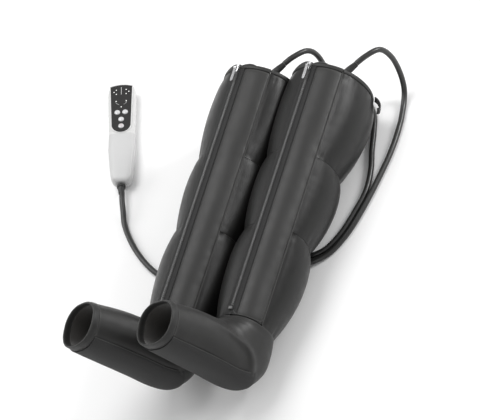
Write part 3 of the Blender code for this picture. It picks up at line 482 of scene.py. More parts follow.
def cloth_lengths(points: np.ndarray) -> np.ndarray:
    """Measures a grid of points along both ways, so that a weave keeps its size.

    Args:
        points: the grid, rows by columns by three.

    Returns:
        For each point its two lengths in metres.
    """
    along_u = np.zeros(points.shape[:2])
    along_v = np.zeros(points.shape[:2])
    along_u[1:] = np.cumsum(np.linalg.norm(np.diff(points, axis=0), axis=2), axis=0)
    along_v[:, 1:] = np.cumsum(np.linalg.norm(np.diff(points, axis=1), axis=2), axis=1)
    middle = along_u[:, along_u.shape[1] // 2]
    return np.stack([np.repeat(middle[:, None], points.shape[1], 1), along_v], axis=2)


def grid_faces(rows: int, columns: int, start: int, turned: bool) -> np.ndarray:
    """Lists the four corners of each face of a grid.

    Args:
        rows: points one way.
        columns: points the other way.
        start: number of the first point.
        turned: whether the faces look the other way.

    Returns:
        One line of four numbers for each face.
    """
    i, j = np.meshgrid(np.arange(rows - 1), np.arange(columns - 1), indexing="ij")
    a = start + i * columns + j
    quads = np.stack([a, a + columns, a + columns + 1, a + 1], axis=2).reshape(-1, 4)
    return quads[:, ::-1] if turned else quads


def surface_mesh(name: str, grids: Sequence[tuple[np.ndarray, bool]]) -> bpy.types.Mesh:
    """Makes one mesh of several grids, joined where their points meet.

    Args:
        name: the mesh's name.
        grids: each grid of points, and whether it is turned.

    Returns:
        The mesh, with the cloth lengths as its UV map.
    """
    points, faces, lengths = [], [], []
    start = 0
    for grid, turned in grids:
        points.append(grid.reshape(-1, 3))
        quads = grid_faces(grid.shape[0], grid.shape[1], start, turned)
        faces.append(quads)
        lengths.append(cloth_lengths(grid).reshape(-1, 2))
        start += grid.shape[0] * grid.shape[1]
    corners, quads, uvs = np.concatenate(points), np.concatenate(faces), np.concatenate(lengths)
    mesh = bpy.data.meshes.new(name)
    mesh.from_pydata(corners.tolist(), [], quads.tolist())
    layer = mesh.uv_layers.new(name="cloth")
    layer.data.foreach_set("uv", uvs[quads.reshape(-1)].reshape(-1))
    bm = bmesh.new()
    bm.from_mesh(mesh)
    bmesh.ops.remove_doubles(bm, verts=bm.verts, dist=0.00001)
    bmesh.ops.recalc_face_normals(bm, faces=bm.faces)
    bm.to_mesh(mesh)
    bm.free()
    return mesh


def pad_grids(outer: np.ndarray, inner: np.ndarray) -> list[tuple[np.ndarray, bool]]:
    """Closes the space between two grids with strips along their four edges.

    Args:
        outer: the grid that faces out.
        inner: the grid that faces in.

    Returns:
        All the grids, each with whether it is turned.
    """
    strips = [np.stack([outer[0], inner[0]], 1), np.stack([outer[-1], inner[-1]], 1),
              np.stack([outer[:, 0], inner[:, 0]], 1), np.stack([outer[:, -1], inner[:, -1]], 1)]
    return [(outer, False), (inner, True), *[(strip, False) for strip in strips]]


def spread(count: int, first: float = 0.0, last: float = 1.0) -> np.ndarray:
    """Even steps from first to last, both included."""
    return np.linspace(first, last, count + 1)


def rounded_ends(count: int, first: float, last: float, radius: float) -> np.ndarray:
    """Steps that crowd towards both ends, where a pad turns in quickly.

    Args:
        count: how many steps.
        first: where they start.
        last: where they end.
        radius: how much they crowd, 0 to 1.

    Returns:
        The values, both ends included.
    """
    share = np.linspace(0, 1, count + 1)
    eased = (1 - np.cos(np.pi * share)) / 2
    return first + (last - first) * (eased * radius + share * (1 - radius))


def mesh_grid(us: np.ndarray, vs: np.ndarray, surface: Surface) -> np.ndarray:
    """Reads a surface over a grid.

    Args:
        us: values one way.
        vs: values the other way.
        surface: gives the points for two arrays of values.

    Returns:
        The grid of points.
    """
    u, v = np.meshgrid(us, vs, indexing="ij")
    return surface(u, v)


def ripple(a: np.ndarray, b: np.ndarray, seed: int, waves: int = 9, low: float = 20.0,
           high: float = 90.0) -> np.ndarray:
    """Soft uneven waves over two lengths in metres, the same on each run.

    Args:
        a: first length.
        b: second length.
        seed: which pattern.
        waves: how many waves are laid on each other.
        low: the longest wave, in turns per metre.
        high: the shortest wave, in turns per metre.

    Returns:
        Heights of about -1 to 1.
    """
    chance = np.random.default_rng(seed)
    total = np.zeros(np.broadcast(a, b).shape)
    for _ in range(waves):
        way = chance.uniform(0, math.pi)
        size = chance.uniform(low, high)
        phase = chance.uniform(0, 2 * math.pi)
        total += np.sin(2 * math.pi * size * (a * math.cos(way) + b * math.sin(way)) + phase)
    return total / math.sqrt(waves) / 1.4


def smooth_between(around: Sequence[np.ndarray], t: np.ndarray) -> np.ndarray:
    """Reads the smooth curve that runs from the second to the third of four values.

    Args:
        around: the four values.
        t: shares of the way.

    Returns:
        The values there.
    """
    a, b, c, d = around
    return (2 * b + (c - a) * t + (2 * a - 5 * b + 4 * c - d) * t ** 2
            + (3 * b - a - 3 * c + d) * t ** 3) / 2


def curve_through(points: Sequence[Sequence[float]], spacing: float) -> np.ndarray:
    """Reads a smooth line through points at even steps, straight on its first and last stretch.

    Args:
        points: the places it goes through.
        spacing: length of each step in metres.

    Returns:
        The points of the line.
    """
    p = np.array(points, dtype=float)
    full = np.vstack([2 * p[0] - p[1], p, 2 * p[-1] - p[-2]])
    fine = []
    for leg in range(len(p) - 1):
        t = np.linspace(0, 1, 24, endpoint=False)[:, None]
        if leg in (0, len(p) - 2):
            fine.append(p[leg] + (p[leg + 1] - p[leg]) * t)
        else:
            fine.append(smooth_between(full[leg:leg + 4], t))
    line = np.vstack([*fine, p[-1:]])
    run = np.concatenate([[0], np.cumsum(np.linalg.norm(np.diff(line, axis=0), axis=1))])
    even = np.linspace(0, run[-1], max(2, round(run[-1] / spacing)) + 1)
    return np.stack([np.interp(even, run, line[:, axis]) for axis in range(3)], 1)


def tube(name: str, points: np.ndarray, radius: float, sides: int = 8) -> bpy.types.Mesh:
    """Makes a closed round cord along points.

    Args:
        name: the mesh's name.
        points: its middle line.
        radius: its radius in metres.
        sides: how many sides it has.

    Returns:
        The mesh.
    """
    p = np.asarray(points, dtype=float)
    way = np.gradient(p, axis=0)
    way /= np.linalg.norm(way, axis=1)[:, None]
    side = np.cross(way[0], [0.3, 0.2, 1.0])
    side /= np.linalg.norm(side)
    rings = []
    turns = np.linspace(0, 2 * math.pi, sides + 1)[:, None]
    for place, forward in zip(p, way):
        side = side - forward * side.dot(forward)
        side /= np.linalg.norm(side)
        other = np.cross(forward, side)
        rings.append(place + radius * (np.cos(turns) * side + np.sin(turns) * other))
    first = np.repeat(p[:1], sides + 1, 0)
    last = np.repeat(p[-1:], sides + 1, 0)
    grid = np.stack([first, *rings, last], 0)
    return surface_mesh(name, [(grid, False)])


def stitches(name: str, line: np.ndarray, outs: np.ndarray, long: float = 0.0022, apart: float = 0.0010,
             wide: float = 0.0005, high: float = 0.00025) -> bpy.types.Mesh:
    """Makes a row of stitches that lie on a surface.

    Args:
        name: the mesh's name.
        line: points along the row.
        outs: the surface's outward direction at each.
        long: length of a stitch.
        apart: space from one stitch to the next.
        wide: width of the thread.
        high: how far it stands out.

    Returns:
        The mesh.
    """
    run = np.concatenate([[0], np.cumsum(np.linalg.norm(np.diff(line, axis=0), axis=1))])
    starts = np.arange(apart, run[-1] - long - apart, long + apart)
    grids = []
    for start in starts:
        at = np.linspace(start, start + long, 5)
        middle = np.stack([np.interp(at, run, line[:, axis]) for axis in range(3)], 1)
        out = np.stack([np.interp(at, run, outs[:, axis]) for axis in range(3)], 1)
        way = middle[-1] - middle[0]
        across = np.cross(way / np.linalg.norm(way), out)
        swell = np.array([0.0, 0.8, 1.0, 0.8, 0.0])[:, None]
        turns = np.linspace(0, 2 * math.pi, 7)
        ring = [middle + swell * (across * wide / 2 * math.cos(turn) + out * high * math.sin(turn))
                for turn in turns]
        grids.append((np.stack(ring, 1), False))
    return surface_mesh(name, grids)


@dataclass(frozen=True)
class BootShape:
    """The sizes of one boot, where it lies, and the surfaces that its pieces are read from.

    Angles round the leg are measured from straight up, positive towards -X.
    """

    name: str
    place: Vector
    roll: float = 0.0
    left_limit: Optional[float] = None
    right_limit: Optional[float] = None
    ankle: float = 0.034
    lower_notch: float = 0.1755
    upper_notch: float = 0.2905
    rim: float = 0.430
    ankle_radius: float = 0.039
    rim_radius: float = 0.0585
    ankle_wall: float = 0.0045
    rim_wall: float = 0.0095
    sleeve_wall: float = 0.0012
    zip_angle: float = math.radians(10)
    panel_width: float = 0.047
    hinge_slack: float = 0.0010
    chain_width: float = 0.0050
    tooth_pitch: float = 0.0030
    tape_width: float = 0.0065
    tape_thickness: float = 0.0008
    binding_depth: float = 0.007
    binding_proud: float = 0.0010
    sew_gap: float = 0.0006
    panel_end_gap: float = 0.0018
    softness: float = 0.004
    foot_angle: float = math.radians(24.2)
    foot_length: float = 0.180
    foot_width: float = 0.072
    foot_wall: float = 0.0030
    foot_squareness: float = 2.35
    foot_girth: float = 0.036
    sole_angle: float = math.radians(54)
    ankle_height: float = 0.0600
    rim_height: float = 0.0665
    loop_angle: float = math.radians(-112)
    loop_width: float = 0.012
    toe_band_share: float = 0.93

    def skin(self, y: np.ndarray) -> np.ndarray:
        """Radius of the cover between its bulges."""
        return np.interp(y, (self.ankle, self.rim), (self.ankle_radius, self.rim_radius))

    def sleeve(self, y: np.ndarray) -> np.ndarray:
        """Outer radius of the inner sleeve."""
        return self.skin(y) - np.interp(y, (self.ankle, self.rim), (self.ankle_wall, self.rim_wall))

    def axis(self, y: np.ndarray) -> np.ndarray:
        """Height of the leg's middle above the table."""
        return np.interp(y, (self.ankle, self.rim), (self.ankle_height, self.rim_height))

    def seam_angle(self, y: np.ndarray) -> np.ndarray:
        """Angle of the seam that the panel turns about."""
        return self.zip_angle - self.panel_width / self.skin(y)

    def at(self, angle: np.ndarray, radius: np.ndarray, y: np.ndarray) -> np.ndarray:
        """Reads points round the leg.

        Args:
            angle: their angles from straight up.
            radius: their radii.
            y: their places along the leg.

        Returns:
            The points.
        """
        turned = angle + self.roll
        height = self.axis(np.clip(y, self.ankle, self.rim))
        x, z = -radius * np.sin(turned), height + radius * np.cos(turned)
        return np.stack(np.broadcast_arrays(x, y, z), -1) + np.array(self.place)

    def outward(self, angle: np.ndarray) -> np.ndarray:
        """Directions straight out of the leg at angles."""
        turned = angle + self.roll
        return np.stack([-np.sin(turned), np.zeros_like(turned), np.cos(turned)], 1)

    def pressed(self, value: np.ndarray, limit: float) -> np.ndarray:
        """Bends a soft pad's reach where something flat holds it back.

        Args:
            value: how far the pad would reach.
            limit: where the flat thing stands.

        Returns:
            How far it reaches.
        """
        past = (value - limit) / self.softness
        bent = limit - self.softness * np.clip(1 - past, 0, 2) ** 2 / 4
        return np.where(past <= -1, value, bent)

    def held(self, points: np.ndarray) -> np.ndarray:
        """Holds a soft pad back at the table and at the other boot.

        Args:
            points: the pad's points.

        Returns:
            The points, held back.
        """
        local = points - np.array(self.place)
        if self.right_limit is not None:
            local[..., 0] = self.pressed(local[..., 0], self.right_limit)
        if self.left_limit is not None:
            local[..., 0] = -self.pressed(-local[..., 0], self.left_limit)
        local[..., 2] = -self.pressed(-local[..., 2], 0.0)
        return local + np.array(self.place)

    def round_angle(self, u: np.ndarray, y: np.ndarray) -> np.ndarray:
        """Finds angles on the way from the seam, round the back, to the zip.

        Args:
            u: shares of that way.
            y: places along the leg.

        Returns:
            The angles.
        """
        first = self.seam_angle(y) - self.hinge_slack / self.skin(y)
        last = self.zip_angle + GAP / self.skin(y) - 2 * math.pi
        return first + (last - first) * u

    def off_zip(self, distance: float, y: np.ndarray) -> np.ndarray:
        """Angle of a line beside the zip, at a distance from its middle."""
        return self.zip_angle + distance / self.skin(y)

    def limits(self, zone: Zone) -> tuple[float, float, float]:
        """Finds how far a chamber reaches.

        Args:
            zone: which chamber.

        Returns:
            Its lower end, its upper end and its bulge.
        """
        ends = {Zone.LOWER: (self.ankle, self.lower_notch, 0.0205),
                Zone.MIDDLE: (self.lower_notch, self.upper_notch, 0.017),
                Zone.UPPER: (self.upper_notch, self.rim - self.binding_depth - self.sew_gap / 2, 0.0185)}
        low, high, bulge = ends[zone]
        return low + self.sew_gap / 2, high - self.sew_gap / 2, bulge

    def chamber_skin(self, zone: Zone, u: np.ndarray, y: np.ndarray) -> np.ndarray:
        """Reads a chamber's outside, with the puckers that its sewn edges draw.

        Args:
            zone: which chamber.
            u: shares of the way round.
            y: places along the leg.

        Returns:
            The points.
        """
        low, high, bulge = self.limits(zone)
        down = np.clip((high - y) / (high - low), 0, 1) ** (math.log(0.5) / math.log(0.41))
        edge = (self.chain_width / 2 + self.tape_width) / (2 * math.pi * self.skin(high) - self.panel_width)
        round_share = np.clip((u - edge / 2) / (1 - edge * 3 / 2), 0, 1)
        swell = bulge * np.sin(np.pi * round_share) ** 1.08 * np.sin(np.pi * down) ** 0.72
        radius = self.skin(y)
        arc = u * (2 * math.pi * self.skin(high) - self.panel_width)
        seed = {Zone.LOWER: 3, Zone.MIDDLE: 5, Zone.UPPER: 7}[zone]
        near_edge = np.minimum(y - low, high - y)
        pucker = np.exp(-near_edge / 0.011) * (1 - np.exp(-near_edge / 0.0022))
        folds = pucker * np.minimum(0, ripple(arc, arc * 0, seed, 8, 45, 110)) * 0.0017
        drawn = np.exp(-arc / 0.010) * (1 - np.exp(-arc / 0.002))
        folds = folds + drawn * np.minimum(0, ripple(y, y * 0, seed + 20, 8, 50, 120)) * 0.0003
        soft = ripple(arc, y, seed + 40, 7, 4, 14) * 0.0009 * np.sin(np.pi * np.clip(down, 0, 1))
        soft = soft * np.sin(np.pi * round_share)
        radius = radius + swell + folds + np.minimum(soft, 0.0004)
        return self.held(self.at(self.round_angle(u, y), radius, y))

    def foot_lines(self) -> tuple[np.ndarray, np.ndarray, np.ndarray]:
        """Gives the foot's outline, from shares of its length and width.

        Returns:
            The heel and sole line, the instep line and the half widths along them.
        """
        heel = ((-0.216, 0.189), (-0.250, 0.070), (-0.245, -0.070), (-0.165, -0.205), (-0.030, -0.262),
                (0.190, -0.295), (0.430, -0.335), (0.610, -0.365), (0.735, -0.385))
        instep = ((0.216, 0.189), (0.245, 0.150), (0.275, 0.125), (0.320, 0.105), (0.380, 0.088),
                  (0.480, 0.065), (0.600, 0.030), (0.715, -0.010), (0.800, -0.040))
        widths = (1.083, 1.08, 1.08, 1.08, 1.08, 1.07, 1.04, 1.00, 0.97)
        return (np.array(heel) * self.foot_length, np.array(instep) * self.foot_length,
                np.array(widths) * self.foot_width / 2)

    @staticmethod
    def smooth_at(values: np.ndarray, share: np.ndarray) -> np.ndarray:
        """Reads a smooth line through values.

        Args:
            values: the values, evenly apart.
            share: shares of the line's way.

        Returns:
            The values there.
        """
        place = np.clip(share, 0, 1) * (len(values) - 1)
        leg = np.minimum(place.astype(int), len(values) - 2)
        t = place - leg
        full = np.concatenate([[2 * values[0] - values[1]], values, [2 * values[-1] - values[-2]]])
        if values.ndim > 1:
            t = t[..., None]
        return smooth_between([full[leg + step] for step in range(4)], t)

    def foot_frame(self) -> tuple[np.ndarray, np.ndarray, np.ndarray]:
        """Gives the foot's origin on the leg's middle line, its way to the toes and its way left."""
        angle = self.foot_angle + self.roll
        forward = np.array((-math.sin(angle), 0, math.cos(angle)))
        left = np.array((-math.cos(angle), 0, -math.sin(angle)))
        return np.array(self.place) + np.array((0, 0, self.ankle_height)), forward, left

    def foot_skin(self, turn: np.ndarray, v: np.ndarray, proud: np.ndarray) -> np.ndarray:
        """Reads points of the foot.

        Args:
            turn: angles round it, from the instep.
            v: shares of the way from ankle to toes.
            proud: how far outside its skin.

        Returns:
            The points.
        """
        heel_line, instep_line, widths = self.foot_lines()
        heel, instep = self.smooth_at(heel_line, v), self.smooth_at(instep_line, v)
        width = self.smooth_at(widths, v) + proud
        middle, half = (heel + instep) / 2, (instep - heel) / 2
        long = np.linalg.norm(half, axis=-1)
        half = half * ((long + proud) / long)[..., None]
        power = 2 / self.foot_squareness
        up = np.sign(np.cos(turn)) * np.abs(np.cos(turn)) ** power
        side = np.sign(np.sin(turn)) * np.abs(np.sin(turn)) ** power
        place = middle + half * up[..., None]
        base, forward, left = self.foot_frame()
        points = base + place[..., :1] * forward + (width * side)[..., None] * left
        points[..., 1] += place[..., 1]
        return points

    def zip_frame(self, y: float, rise: float) -> Matrix:
        """Finds a frame on the zip line, +Y towards the rim and +Z off the skin.

        Args:
            y: its place along the leg.
            rise: its height above the skin.

        Returns:
            The frame.
        """
        start = Vector(self.at(self.zip_angle, self.skin(self.ankle) + rise, self.ankle))
        end = Vector(self.at(self.zip_angle, self.skin(self.rim) + rise, self.rim))
        along = (end - start).normalized()
        turned = self.zip_angle + self.roll
        across = along.cross(Vector((-math.sin(turned), 0, math.cos(turned)))).normalized()
        out = across.cross(along)
        matrix = Matrix((across, along, out)).transposed().to_4x4()
        matrix.translation = start.lerp(end, (y - self.ankle) / (self.rim - self.ankle))
        return matrix


@dataclass
class SoftBoot:
    """One boot's cloth, zip and fittings."""

    shape: BootShape
    wardrobe: Wardrobe
    round_steps: int = 120
    long_steps: int = 44

    def keep(self, piece: bpy.types.Object, use: str, slot: str, body: str,
             *nodes: str) -> bpy.types.Object:
        """Dresses a piece and ties it to its body, as Wardrobe.keep does, hiding the nodes named without the
        boot's name.
        """
        return self.wardrobe.keep(piece, use, slot, body, *[f"{self.shape.name}_{node}" for node in nodes])

    def label(self, piece: str) -> str:
        """The full name of one of this boot's pieces."""
        return f"{self.shape.name}_{piece}_look"

    @property
    def panel_body(self) -> str:
        """The body of the front panel."""
        return f"{self.shape.name}_panel"

    def chambers(self) -> None:
        """Makes the three air chambers as closed, swollen pads."""
        shape = self.shape
        for zone in Zone:
            low, high, _ = shape.limits(zone)
            us = rounded_ends(self.round_steps, 0, 1, 0.5)
            ys = rounded_ends(self.long_steps, low, high, 0.85)
            outer = mesh_grid(us, ys, lambda u, y: shape.chamber_skin(zone, u, y))
            inner = mesh_grid(us, ys, lambda u, y: shape.at(shape.round_angle(u, y),
                                                            shape.sleeve(y) + GAP, y))
            mesh = surface_mesh(self.label(f"{zone.value}_chamber"), pad_grids(outer, inner))
            piece = self.keep(linked(mesh, 50), "cover", "cover", BODY, f"{zone.value}_chamber")

    def sleeve(self) -> None:
        """Makes the knitted sleeve inside the chambers."""
        shape = self.shape
        ys = spread(40, shape.ankle + shape.sew_gap / 2, shape.rim - shape.binding_depth - shape.sew_gap)
        us = spread(90)

        def lining(depth: float) -> np.ndarray:
            """The sleeve's face at a depth below its outside.

            Args:
                depth: the depth.

            Returns:
                Its grid of points.
            """
            def face(u: np.ndarray, y: np.ndarray) -> np.ndarray:
                """Points of that face."""
                rise = ripple(u * 0.3, y, 60, 8, 8, 30) * 0.0002
                return shape.at(shape.round_angle(u, y), shape.sleeve(y) - depth - np.abs(rise), y)
            return mesh_grid(us, ys, face)

        mesh = surface_mesh(self.label("leg_sleeve"), pad_grids(lining(0.0), lining(shape.sleeve_wall)))
        self.keep(linked(mesh), "lining", "lining", BODY, "leg_sleeve")

    def panel_angle(self, u: np.ndarray, y: np.ndarray) -> np.ndarray:
        """Angle at share u of the way across the panel, from the zip to the seam."""
        first = self.shape.off_zip(-self.shape.chain_width / 2 - GAP, y)
        return first + (self.shape.seam_angle(y) - first) * u

    def panel(self) -> None:
        """Makes the smooth front panel, soft at its edges and a little uneven along its length."""
        shape = self.shape
        low, high = shape.ankle + shape.panel_end_gap, shape.rim - shape.binding_depth - shape.sew_gap
        us, ys = rounded_ends(30, 0, 1, 0.7), rounded_ends(110, low, high, 0.4)

        def outer(u: np.ndarray, y: np.ndarray) -> np.ndarray:
            """The panel's outside, a shallow cushion between zip tape and seam.

            Args:
                u: shares of the way from the zip to the seam.
                y: places along the leg.

            Returns:
                The points.
            """
            tape = shape.tape_width / shape.panel_width * 1.15
            across = np.clip((u - tape) / (1 - tape), 0, 1)
            crown = 0.0011 * np.sin(np.pi * across) ** 0.6
            edge = 0.0007 * np.exp(-(1 - u) / 0.012)
            ends = 0.0016 * np.exp(-(y - low) / 0.0018) + 0.0010 * np.exp(-(high - y) / 0.002)
            length = u * shape.panel_width
            soft = ripple(length, y, 11, 8, 5, 22) * 0.0005 * np.sin(np.pi * across)
            drawn = np.exp(-(1 - u) / 0.16) * np.minimum(0, ripple(y, y * 0, 12, 8, 22, 60)) * 0.0006
            radius = shape.skin(y) + crown - edge - ends + soft + drawn * (across > 0)
            return shape.at(self.panel_angle(u, y), radius, y)

        def inner(u: np.ndarray, y: np.ndarray) -> np.ndarray:
            """The panel's lining side."""
            return shape.at(self.panel_angle(u, y), shape.sleeve(y) - shape.sleeve_wall, y)

        grids = pad_grids(mesh_grid(us, ys, outer), mesh_grid(us, ys, inner))
        mesh = surface_mesh(self.label("front_panel"), grids)
        self.keep(linked(mesh, 50), "panel", "panel", self.panel_body, "front_panel")

    def line_on_skin(self, distance: Optional[float], rise: float, low: float, high: float,
                     from_seam: float = 0.0) -> tuple[np.ndarray, np.ndarray]:
        """A line along the leg beside the zip or the seam.

        Args:
            distance: metres from the zip's middle, or None to follow the seam.
            rise: how far above the skin.
            low: where it starts along the leg.
            high: where it ends.
            from_seam: metres from the seam, positive towards the zip.

        Returns:
            Its points and the outward directions at them.
        """
        shape = self.shape
        ys = spread(120, low, high)
        angle = shape.seam_angle(ys) + from_seam / shape.skin(ys)
        if distance is not None:
            angle = shape.off_zip(distance, ys)
        return shape.at(angle, shape.skin(ys) + rise, ys), shape.outward(angle)

    def sewing(self) -> None:
        """Makes the piping on the seam and the rows of stitches beside zip and seam."""
        shape = self.shape
        low, high = shape.ankle + 0.004, shape.rim - shape.binding_depth - 0.002
        line, _ = self.line_on_skin(None, -0.0002, low - 0.002, high + 0.0015, -shape.hinge_slack / 2)
        piping = linked(tube(self.label("seam_piping"), line, 0.00085, 8))
        self.keep(piping, "binding", "binding", self.panel_body)
        self.hem()
        rows = (("seam_stitches", None, 0.0006, self.panel_body, 0.0036),
                ("panel_zip_stitches", -shape.chain_width / 2 - GAP - 0.0040, 0.0012, self.panel_body, 0.0),
                ("panel_edge_stitches", -shape.chain_width / 2 - GAP - 0.0088, 0.0008, self.panel_body, 0.0),
                ("body_zip_stitches", shape.chain_width / 2 + 0.0040, 0.0012, BODY, 0.0))
        for name, distance, rise, body, inset in rows:
            line, outs = self.line_on_skin(distance, rise, low, high, inset)
            self.keep(linked(stitches(self.label(name), line, outs)), "thread", "tape", body)

    def hem(self) -> None:
        """Makes the piped lower edge of the panel, turned up at its corners."""
        shape = self.shape
        us = spread(60, 0.02, 0.98)
        corner = 0.0075 * (np.exp(-us / 0.05) + np.exp(-(1 - us) / 0.05))
        ys = shape.ankle + shape.panel_end_gap + 0.0009 + corner
        line = shape.at(self.panel_angle(us, ys), shape.skin(ys) + 0.0006, ys)
        self.keep(linked(tube(self.label("panel_hem"), line, 0.0009)), "binding", "binding", self.panel_body)
        above = ys + 0.0035
        line = shape.at(self.panel_angle(us, above), shape.skin(above) + 0.0009, above)
        outs = shape.outward(self.panel_angle(us, above))
        inside = slice(10, -4)
        row = stitches(self.label("panel_hem_stitches"), line[inside], outs[inside])
        self.keep(linked(row), "thread", "tape", self.panel_body)

    def binding(self, name: str, angles: np.ndarray, bump: np.ndarray, body: str, node: str) -> None:
        """Makes a bound rim over a run of angles.

        Args:
            name: the piece's name.
            angles: the angles that it covers.
            bump: how far it rises beyond the rim at each angle.
            body: the body that it rides on.
            node: the node that it replaces.
        """
        shape = self.shape
        outer = float(shape.skin(shape.rim)) + shape.binding_proud
        inner = float(shape.sleeve(shape.rim)) - shape.sleeve_wall
        low, high = shape.rim - shape.binding_depth, shape.rim
        middle, half = (outer + inner) / 2, (outer - inner) / 2
        lip = 0.0035
        profile = [(inner, low)]
        profile += [(middle - half * math.cos(turn), high - lip + lip * math.sin(turn))
                    for turn in np.linspace(0, math.pi, 13)]
        profile += [(outer, low + 0.0006), (outer - 0.0006, low), (inner, low)]
        rings = []
        for radius, y in profile:
            share = np.clip((y - low) / (high - low), 0, 1) ** 2
            ys = y + bump * share
            rings.append(shape.held(shape.at(angles, np.full_like(angles, radius), ys)))
        grid = np.stack(rings, 1)
        caps = [(np.stack([grid[end], np.repeat(grid[end].mean(0)[None], grid.shape[1], 0)], 0), False)
                for end in (0, -1)]
        mesh = surface_mesh(self.label(name), [(grid, False), *caps])
        self.keep(linked(mesh, 60), "binding", "binding", body, node)

    def bindings(self) -> None:
        """Makes the rim's binding on the boot and on the panel, with its collar beside the zip."""
        shape = self.shape
        top = np.array(shape.rim)
        fixed = shape.round_angle(spread(150), top)
        from_zip = fixed + 2 * math.pi - shape.zip_angle
        collar = 0.0065 * np.clip(np.sin(np.pi * np.clip(from_zip / 0.62, 0, 1)), 0, 1) ** 0.7
        self.binding("rim_binding", fixed, collar, BODY, "rim_binding")
        moving = self.panel_angle(spread(40), top)
        share = spread(40)
        collar = 0.0030 * np.sin(np.pi * np.clip(share / 0.5, 0, 1)) ** 0.8
        self.binding("panel_binding", moving, collar, self.panel_body, "panel_binding")

    def tapes(self) -> None:
        """Makes the two zip tapes."""
        shape = self.shape
        low, high = shape.ankle + shape.panel_end_gap, shape.rim - shape.binding_depth - shape.sew_gap
        edge = shape.chain_width / 2
        for name, first, last, body in (("body_zip_tape", -edge, edge + shape.tape_width, BODY),
                                        ("panel_zip_tape", -edge - GAP - shape.tape_width, -edge - GAP,
                                         self.panel_body)):
            def face(rise: float) -> np.ndarray:
                """The tape's face at a height over the skin."""
                return mesh_grid(spread(12), spread(80, low, high),
                                 lambda u, y: shape.at(shape.off_zip(first + (last - first) * u, y),
                                                       shape.skin(y) + rise, y))
            mesh = surface_mesh(self.label(name), pad_grids(face(GAP + shape.tape_thickness), face(GAP)))
            self.keep(linked(mesh), "tape", "tape", body, name)

    def tooth_row(self, side: int) -> bpy.types.Mesh:
        """Makes one side's row of zip teeth, each reaching between two of the other side's.

        Args:
            side: 1 for the boot's side, -1 for the panel's.

        Returns:
            The mesh.
        """
        shape = self.shape
        pitch = shape.tooth_pitch
        low, high = shape.ankle + 0.0155, shape.rim - 0.0015
        base = GAP * 2 + shape.tape_thickness
        count = int((high - low) / pitch)
        grids = []
        for number in range(count):
            y = low + pitch * (number + (0.5 if side < 0 else 0.0))
            matrix = np.array(shape.zip_frame(y, base))
            turns = np.linspace(0, 2 * math.pi, 9)
            rings = []
            for x, wide, high_here in ((2.4, 0.9, 1.0), (1.5, 1.0, 1.35), (0.4, 1.0, 1.6), (-0.5, 0.95, 1.6),
                                       (-0.9, 0.55, 1.2)):
                half = pitch * 0.235 * wide
                ring = np.stack([np.full(9, side * x * 0.001), half * np.cos(turns),
                                 0.0005 * high_here * (1 + np.sin(turns))], 1)
                rings.append(ring @ matrix[:3, :3].T + matrix[:3, 3])
            ends = [np.repeat(ring.mean(0)[None], 9, 0) for ring in (rings[0], rings[-1])]
            grids.append((np.stack([ends[0], *rings, ends[1]], 0), False))
        return surface_mesh(self.label("body_teeth" if side > 0 else "panel_teeth"), grids)

    def teeth(self) -> None:
        """Makes both rows of zip teeth; the boot's row stands for the plain bar."""
        self.keep(linked(self.tooth_row(1), 60), "teeth", "chain", BODY, "zip_chain")
        self.keep(linked(self.tooth_row(-1), 60), "teeth", "chain", self.panel_body)

    def loop(self) -> None:
        """Makes the webbing hang loop at the back of the rim."""
        shape = self.shape
        outer = float(shape.skin(shape.rim)) + shape.binding_proud
        inner = float(shape.sleeve(shape.rim)) - shape.sleeve_wall
        if shape.right_limit is None:
            top = np.array((outer + GAP, shape.rim - GAP))
            feet, out = (top, top + (0.009, -0.018)), np.array((0.007, 0.0))
        else:
            feet = (np.array((inner, shape.rim + GAP)), np.array((shape.right_limit, shape.rim + GAP)))
            out = np.array((0.0, 0.016))
        middle, half = (feet[0] + feet[1]) / 2, (feet[0] - feet[1]) / 2
        thick = min(0.0016, float(np.linalg.norm(half)) / 2)

        def face(inset: float) -> np.ndarray:
            """The loop's face, inset from its outside.

            Args:
                inset: how far.

            Returns:
                Its grid of points.
            """
            def points(u: np.ndarray, share: np.ndarray) -> np.ndarray:
                """Points of that face.

                Args:
                    u: shares of the way from foot to foot.
                    share: shares of its width.

                Returns:
                    The points.
                """
                turn = np.pi * u
                scale_a = 1 - inset / np.linalg.norm(half)
                scale_b = 1 - inset / np.linalg.norm(out)
                place = (middle + half * scale_a * np.cos(turn)[..., None]
                         + out * scale_b * np.sin(turn)[..., None])
                angle = shape.loop_angle + (share - 0.5) * shape.loop_width / outer
                return shape.at(angle, place[..., 0], place[..., 1])
            return mesh_grid(spread(36), spread(8), points)

        mesh = surface_mesh(self.label("hang_loop"), pad_grids(face(0.0), face(thick)))
        self.keep(linked(mesh), "webbing", "binding", BODY, "hang_loop")

    def heel_fold(self, turn: np.ndarray, v: np.ndarray) -> np.ndarray:
        """Finds the height of the soft fold from the ankle's sides round the heel cup.

        Args:
            turn: angles round the foot.
            v: shares of the way from ankle to toes.

        Returns:
            The heights.
        """
        turns = np.radians((303, 296, 294, 285, 276, 269, 256, 244, 230))
        shares = np.array((0.700, 0.597, 0.521, 0.433, 0.368, 0.345, 0.357, 0.380, 0.392))
        size = self.shape.foot_girth
        folded = np.where(turn > math.pi, turn, 2 * math.pi - turn)
        nearest = np.full(np.shape(turn), np.inf)
        for a, b, c, d in zip(turns, shares, turns[1:], shares[1:]):
            for step in np.linspace(0, 1, 6):
                far_turn, far_share = (folded - a - (c - a) * step) * size, (v - b - (d - b) * step)
                nearest = np.minimum(nearest, np.hypot(far_turn, far_share * self.shape.foot_length))
        fade = np.clip((0.70 - v) / 0.2, 0, 1)
        return (0.0022 * np.exp(-(nearest / 0.0055) ** 2)) * fade

    def foot(self) -> None:
        """Makes the padded foot with its lining, its sole cloth, its seams and its toe band."""
        shape = self.shape
        turns, vs = spread(96, 0, 2 * math.pi), spread(72, 0, shape.toe_band_share)

